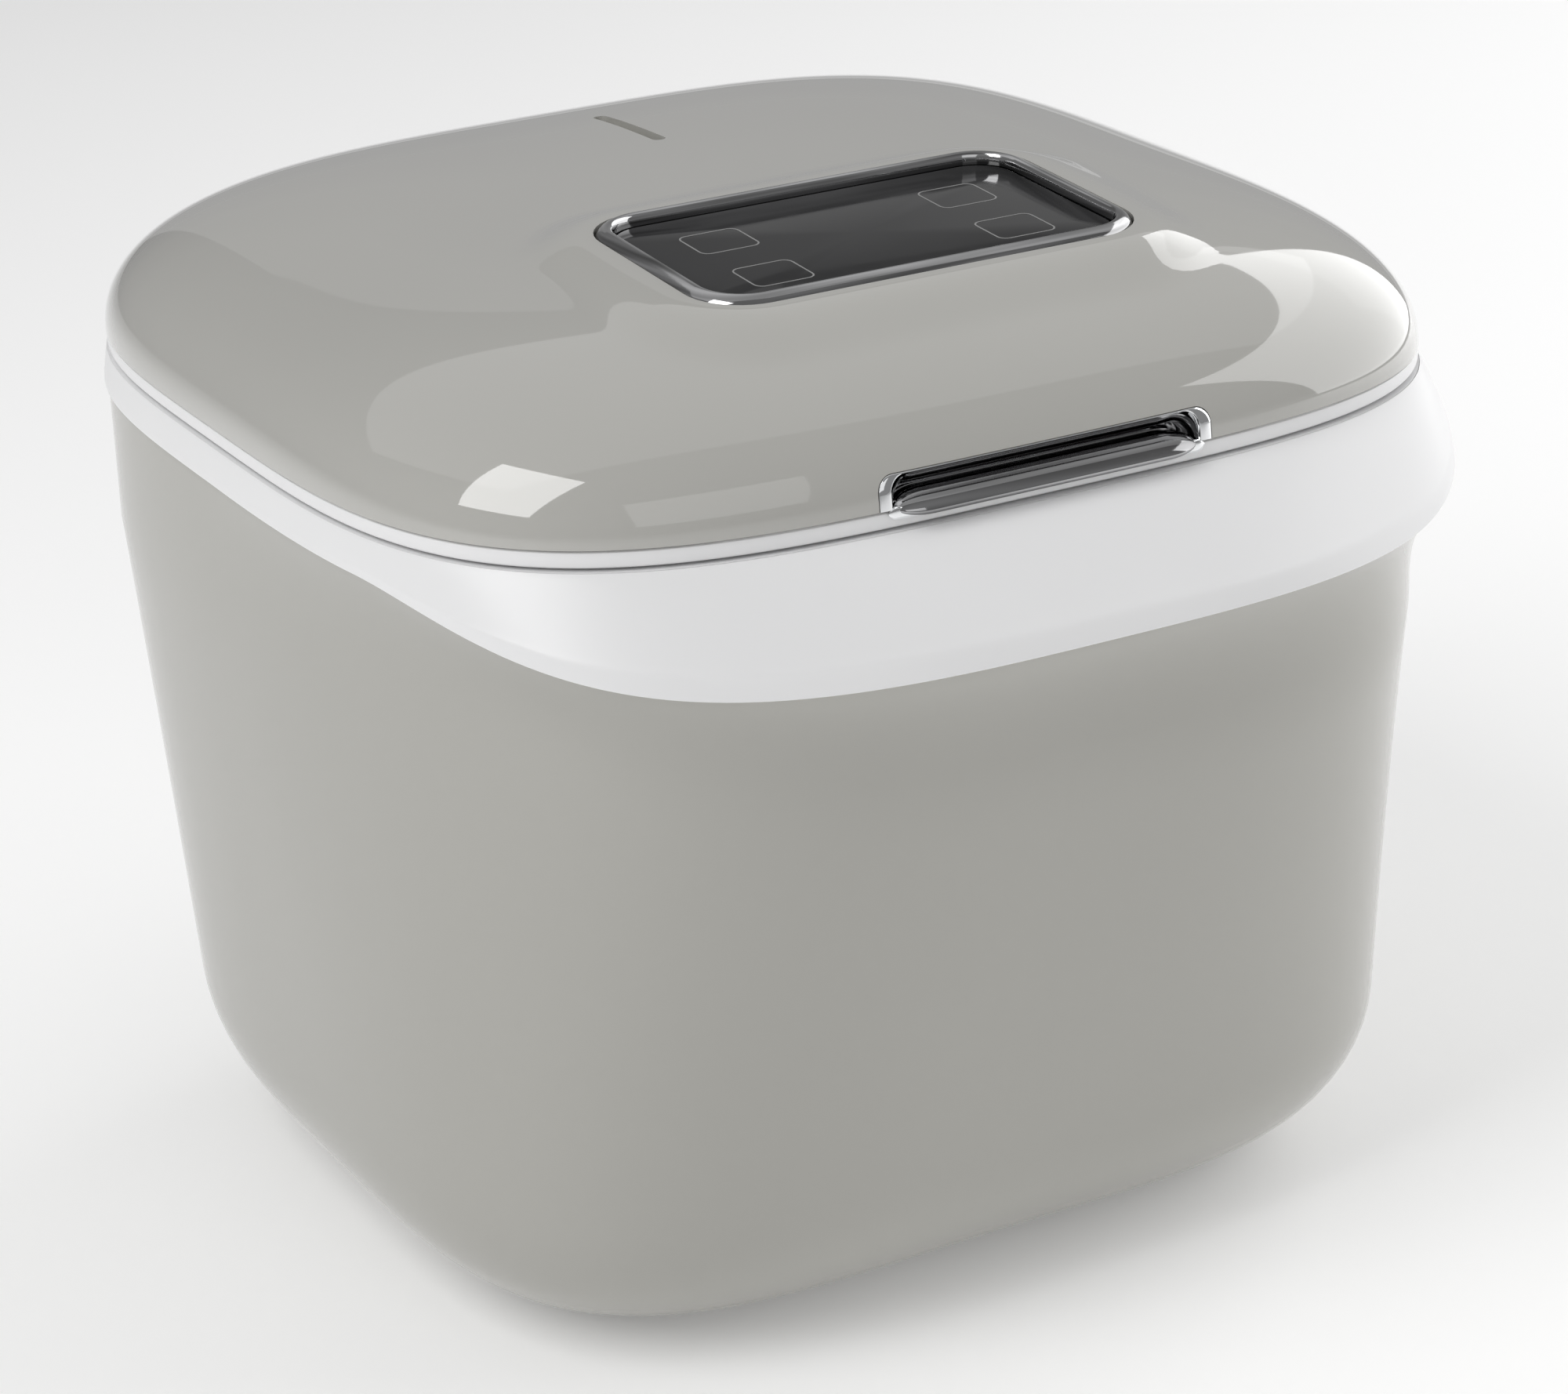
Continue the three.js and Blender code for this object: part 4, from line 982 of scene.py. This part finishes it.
def make_lift_bar():
    """A rounded bar with a hooked front edge, on three arms that turn on the pin."""
    # Y and Z, forwards over the top, round the hook and back underneath
    section = [(-142.0, 228.8), (-144.0, 229.2), (-146.5, 229.2), (-149.0, 228.6), (-150.9, 227.6),
               (-152.0, 226.4), (-152.5, 225.4), (-152.4, 224.7), (-151.9, 224.2), (-151.2, 224.1),
               (-150.5, 224.6), (-150.1, 225.5), (-149.3, 226.4), (-147.5, 226.9), (-142.0, 227.1)]
    outline = closed_spline(section, 4)
    centre_y, centre_z = -147.5, 226.2
    half, taper = 41.3, 9.0
    stations = [half - taper * (1 - math.sin(math.radians(q))) for q in range(0, 91, 9)]
    stations = [-s for s in stations[::-1]] + [-16, 0, 16] + stations
    loops = []
    for x in stations:
        inward = max(0.0, (abs(x) - (half - taper)) / taper)
        shrink = max(0.05, math.sqrt(max(0.0, 1 - inward**2)))
        reach = 0.25 + 0.75 * shrink
        loops.append([
            (x, centre_y + (y - centre_y) * reach, centre_z + (z - centre_z) * shrink)
            for y, z in outline
        ])
    grip = skin(loops, "fill")
    # the grip's chrome is darkened with painted shade and streaked with painted reflections
    finished("lift_bar_grip", grip, BAR_CHROME_PAINTED_SHADE, "lift_bar", ("lift_bar",), sharp=60)
    axis = middle("lift_bar_pin")
    for k, x in enumerate(ARM_X):
        profile = [(x - 3, 2.2), (x - 2.6, 2.9), (x + 2.6, 2.9), (x + 3, 2.2)]
        eye = lathe_x(profile, axis.y, axis.z)
        finished(f"lift_bar_eye_{k + 1}", eye, CHROME, "lift_bar")
        arm = box_mesh((x - ARM_HALF, -143.6, ARM_LOW), (x + ARM_HALF, axis.y, ARM_HIGH))
        finished(f"lift_bar_arm_{k + 1}", arm, CHROME, "lift_bar")


def make_lid_liner():
    section = [(21, 226.4), (27, 226.4), (29.5, 227.0), (31.2, 229.0), (36, 238.0), (38.5, 243.0),
               (41, 245.6), (45, 247.1), (52, 247.9), (60, 248.0)]
    out, up = 0.4, 0.8  # from the sheet's underside to its top
    under = [lid_loop(inset, z) for inset, z in section]
    over = [polar(lambda t, i=inset: lid_radius(t) - i + out, z + up) for inset, z in section]
    loops = under[::-1] + over
    finished("lid_liner_skin", skin(loops, "fill"), STEEL_FLAT, "lid", ("lid_liner",))


# ---------- chamber ----------
TUB_LOW, TUB_HIGH = cad_box("chamber_liner")
TUB_FLOOR = TUB_LOW.z
TUB_RIM = TUB_HIGH.z - 1  # the underside of its flange
TUB_RIM_IN = 26  # from the lid's outline
TUB_FLANGE_IN = 17
TUB_FLOOR_HALF_WIDTH = 112
TUB_FLOOR_BACK = 96
TUB_FLOOR_FRONT = 100
TUB_FLOOR_EXPONENT = 3.4
TUB_FILLET = 16.0
TUB_THICK = 1.2


def tub_radius(angle, z):
    """The tub's outside at a height, straight from its rim to its floor."""
    rim = lid_radius(angle) - TUB_RIM_IN
    reach = TUB_FLOOR_BACK if math.sin(angle) >= 0 else TUB_FLOOR_FRONT
    floor = superellipse(angle, TUB_FLOOR_HALF_WIDTH, reach, TUB_FLOOR_EXPONENT)
    return rim + (floor - rim) * ((TUB_RIM - z) / (TUB_RIM - TUB_FLOOR))


def tub_wall(offset):
    """Loops up the tub from the edge of its flat floor; offset is inwards from its outside."""
    knee = TUB_FLOOR + TUB_FILLET
    r = TUB_FILLET - offset
    loops = []
    for turn in range(0, 91, 9):
        sine, cosine = math.sin(math.radians(turn)), math.cos(math.radians(turn))
        z = knee - r * cosine
        loops.append(polar(lambda t: tub_radius(t, knee) - TUB_FILLET + r * sine, z))
    for share in (0.25, 0.5, 0.75):
        z = knee + (TUB_RIM - TUB_FLOOR - TUB_FILLET) * share
        loops.append(polar(lambda t: tub_radius(t, z) - offset, z))
    return loops


def make_tub():
    """A pressed tub with a flange, an opening at the floor grille and vents in its back wall."""
    rim = [polar(lambda t: tub_radius(t, TUB_RIM), TUB_RIM - 1),
           polar(lambda t: tub_radius(t, TUB_RIM) + 1, TUB_RIM),
           lid_loop(TUB_FLANGE_IN, TUB_RIM),
           lid_loop(TUB_FLANGE_IN, TUB_RIM + 1),
           polar(lambda t: tub_radius(t, TUB_RIM) + 0.4, TUB_RIM + 1),
           polar(lambda t: tub_radius(t, TUB_RIM) - 0.6, TUB_RIM + 0.7),
           polar(lambda t: tub_radius(t, TUB_RIM) - TUB_THICK, TUB_RIM)]
    mesh = skin(tub_wall(0.0) + rim + tub_wall(TUB_THICK)[::-1], "fill")
    piece = finished("chamber_tub", mesh, STEEL, "box", ("chamber_liner",))
    half, low, high = 1.1, 173, 191
    vents = [cutter(box_mesh((x - half, 90, low), (x + half, 150, high))) for x in range(-32, 33, 8)]
    x, y, half = *middle("floor_grille").xy, 22
    opening = cutter(box_mesh((x - half, y - half, 60), (x + half, y + half, 80)))
    carve(piece, opening, *vents)


BASKET_Y = -4.0  # the middle of the basket
RIM_ROD = 1.6  # radius of its top and bottom hoops
ROD = 1.05  # radius of its other rods


def make_basket():
    """Two hoops, a floor of close-set rods on two cross rods, open walls and four bent legs."""
    half_x, half_y, cy = 94.0, 80.0, BASKET_Y
    low, high = 102.0, 168.0
    wall_x, wall_y = half_x - 2 * RIM_ROD - ROD, half_y - 2 * RIM_ROD - ROD

    def hoop(z, inset, r):
        return ([(u, cy + v, z) for u, v in rounded(half_x - inset, half_y - inset, r, 10)], True)

    def rod(start, end):
        return ([start, end], False)

    rings = [hoop(high - RIM_ROD, RIM_ROD, 22), hoop(low + RIM_ROD, RIM_ROD, 22)]
    wires("basket_rings", rings, RIM_ROD, WIRE, "basket", ("basket",))
    floor = []
    for x in [6.0 * k for k in range(-14, 15)]:
        reach = wall_y if abs(x) < 76 else wall_y - 8  # shorter where the hoop turns its corner
        floor.append(rod((x, cy - reach, low + 1.3), (x, cy + reach, low + 1.3)))
    for y in (cy - 23, cy + 23):
        floor.append(rod((-wall_x, y, low - 0.6), (wall_x, y, low - 0.6)))
    wires("basket_floor", floor, ROD, WIRE, "basket")
    walls = []
    for side in (-1, 1):
        for x in range(-64, 65, 16):
            walls.append(rod((x, cy + side * wall_y, low + 1), (x, cy + side * wall_y, high - 1)))
        for y in range(-56, 57, 14):
            walls.append(rod((side * wall_x, cy + y, low + 1), (side * wall_x, cy + y, high - 1)))
    walls += [hoop(z, 2 * RIM_ROD + 3 * ROD, 18) for z in (low + 22, low + 42)]
    wires("basket_mesh", walls, ROD, WIRE, "basket")
    leg = ((84, low + 1), (81, 75.2), (76, 75.2), (72, low + 1))  # x and z
    legs = []
    for side in (-1, 1):
        for y in (cy - 28, cy + 28):
            legs.append((bend([(side * x, y, z) for x, z in leg], 3), False))
    wires("basket_legs", legs, ROD, WIRE, "basket")


def make_basket_handles():
    """Two bails that lie inwards at rest, each in two eyes on the basket's rim."""
    cy, reach, tail = BASKET_Y, 38.0, 3.5
    eye_r, eye_out = 2.0, 2.6
    rim_x, rim_z = 92.6, 166.6
    for side, name in ((-1, "left"), (1, "right")):
        node = "basket_handle_" + name
        z = middle(node).z
        hinge_x = side * 96.4
        grip_x = side * 58.0
        path = [(hinge_x, cy - reach - tail, z), (hinge_x, cy - reach, z), (grip_x, cy - reach, z),
                (grip_x, cy + reach, z), (hinge_x, cy + reach, z), (hinge_x, cy + reach + tail, z)]
        bail = [(bend(path, 5), False)]
        wires(f"basket_bail_{name}", bail, 1.1, WIRE, "handle_" + name, (node,))
        eyes = []
        for y in (cy - reach - eye_out, cy + reach + eye_out):
            ring = [(hinge_x + eye_r * math.cos(t), y, z + eye_r * math.sin(t)) for t in turns(16)]
            eyes.append((ring, True))
            stem = [(hinge_x - side * 1.4, y, z - 1.6), (side * rim_x, y, rim_z)]
            eyes.append((stem, False))
        wires(f"basket_eyes_{name}", eyes, 0.75, WIRE, "basket")


def make_lamp(node, body):
    """A quartz tube with a cap on each end."""
    centre, half = middle(node), cad_box(node)[1].x
    tube = [(-half + 8, 7.4), (-half + 9, 7.6), (half - 9, 7.6), (half - 8, 7.4)]
    finished(node + "_tube", lathe_x(tube, centre.y, centre.z), QUARTZ, body, (node,))
    cap = [(half, 6.6), (half - 0.8, 8.0), (half - 8.4, 8.15), (half - 9.2, 7.7)]
    for k, side in enumerate((-1, 1)):
        mesh = lathe_x([(side * x, r) for x, r in cap], centre.y, centre.z)
        finished(f"{node}_cap_{k + 1}", mesh, WHITE_INNER, body)


# ---------- hinges, feet and the parts that keep their frame shape ----------
def make_hinge_pins():
    for name in ("left", "right"):
        node = "hinge_pin_" + name
        low, high = cad_box(node)
        centre = middle(node)
        pin = [(low.x, 1.5), (low.x + 0.5, 2.0), (high.x - 0.5, 2.0), (high.x, 1.5)]
        finished(node + "_piece", lathe_x(pin, centre.y, centre.z), WIRE, "box", (node,))


def make_feet():
    for node in [f"foot_{end}_{side}" for end in ("front", "rear") for side in ("left", "right")]:
        low, high = cad_box(node)
        centre = middle(node)
        profile = [(6.4, low.z + 0.35), (6.9, low.z), (8.2, low.z), (8.7, low.z + 0.3),
                   (9.0, low.z + 1.0), (9.0, high.z - 0.3), (8.7, high.z)]
        mesh = lathe_z(profile, centre.x, centre.y)
        finished(node + "_piece", mesh, RUBBER, "box", (node,))


REFINED = {  # slot: (material, nodes that keep their frame shape)
    "dark_plastic": (DARK, [
        "base_plate", "blower_housing", "heater_duct", "power_inlet", "exhaust_grille", "filter_frame",
        "filter_door", "damper_body", "damper_rotor", "lid_switch",
    ]),
    "white_plastic": (WHITE_INNER, [
        "fan_impeller", "lower_lamp_socket_left", "lower_lamp_socket_right", "upper_lamp_socket_left",
        "upper_lamp_socket_right", "hinge_bracket_left", "hinge_bracket_right", "hinge_arm_left",
        "hinge_arm_right",
    ]),
    "steel": (STEEL_FLAT, [
        "floor_grille", "lower_lamp_guard", "upper_lamp_guard", "blower_motor", "fan_shaft",
        "magnet_keeper", "lid_magnet_left", "lid_magnet_right", "lift_bar_pin", "lift_bar_spring",
        "base_screw_1", "base_screw_2", "base_screw_3", "base_screw_4",
    ]),
    "board": (BOARD, ["main_board", "display_board"]),
    "foam": (FELT, ["air_filter"]),
    "heater": (HEATER, ["heater_core"]),
}


def make_refined():
    for slot, (material, nodes) in REFINED.items():
        for node in nodes:
            refined(node, material)


# ---------- studio, in metres ----------
FLOOR_HALF = 6.0
WORLD_STRENGTH = 0.24
LIGHTS_AIM = (0, 0, 0.16)
LIGHTS = (  # name, azimuth and elevation in degrees, distance, width, height, power
    ("key", -77, 43, 2.0, 1.05, 1.45, 20.3),
    ("right", 86, 21.5, 1.9, 2.7, 1.7, 27),
    ("ceiling", 174, 72, 2.0, 4.4, 2.5, 11.5),
    ("front", -5, 25, 2.4, 1.6, 1.2, 3.8),
    ("back_wall", 138, 16.5, 2.2, 3.2, 1.4, 1.6),
)


def add_floor():
    mesh = bpy.data.meshes.new("floor")
    half = FLOOR_HALF
    corners = [(-half, -half, 0), (half, -half, 0), (half, half, 0), (-half, half, 0)]
    mesh.from_pydata(corners, [], [(0, 1, 2, 3)])
    mesh.materials.append(floor_material())
    linked("floor", mesh)


def softbox(name, azimuth, elevation, distance, width, height, power):
    """A rectangular light aimed at the object, which the camera doesn't see."""
    away = direction(math.radians(azimuth), math.radians(elevation))
    data = bpy.data.lights.new(name, "AREA")
    data.shape = "RECTANGLE"
    data.size = width
    data.size_y = height
    data.energy = power
    lamp = linked(name, data)
    lamp.location = Vector(LIGHTS_AIM) + away * distance
    lamp.rotation_mode = "QUATERNION"
    lamp.rotation_quaternion = (-away).to_track_quat("-Z", "Y")
    lamp.visible_camera = False


def add_world():
    world = bpy.data.worlds.new("studio")
    world.use_nodes = True
    background = world.node_tree.nodes["Background"]
    background.inputs["Color"].default_value = (1, 1, 1, 1)
    background.inputs["Strength"].default_value = WORLD_STRENGTH
    bpy.context.scene.world = world


bpy.context.scene.view_settings.view_transform = "Standard"
add_floor()
add_world()
for light in LIGHTS:
    softbox(*light)

make_body()
make_collar()
make_lid_ring()
make_seal()
make_dome()
make_panel()
make_keys()
make_window()
make_handle_cup()
make_lift_bar()
make_lid_liner()
make_tub()
make_basket()
make_basket_handles()
make_lamp("lower_uv_lamp", "box")
make_lamp("upper_uv_lamp", "lid")
make_hinge_pins()
make_feet()
make_refined()
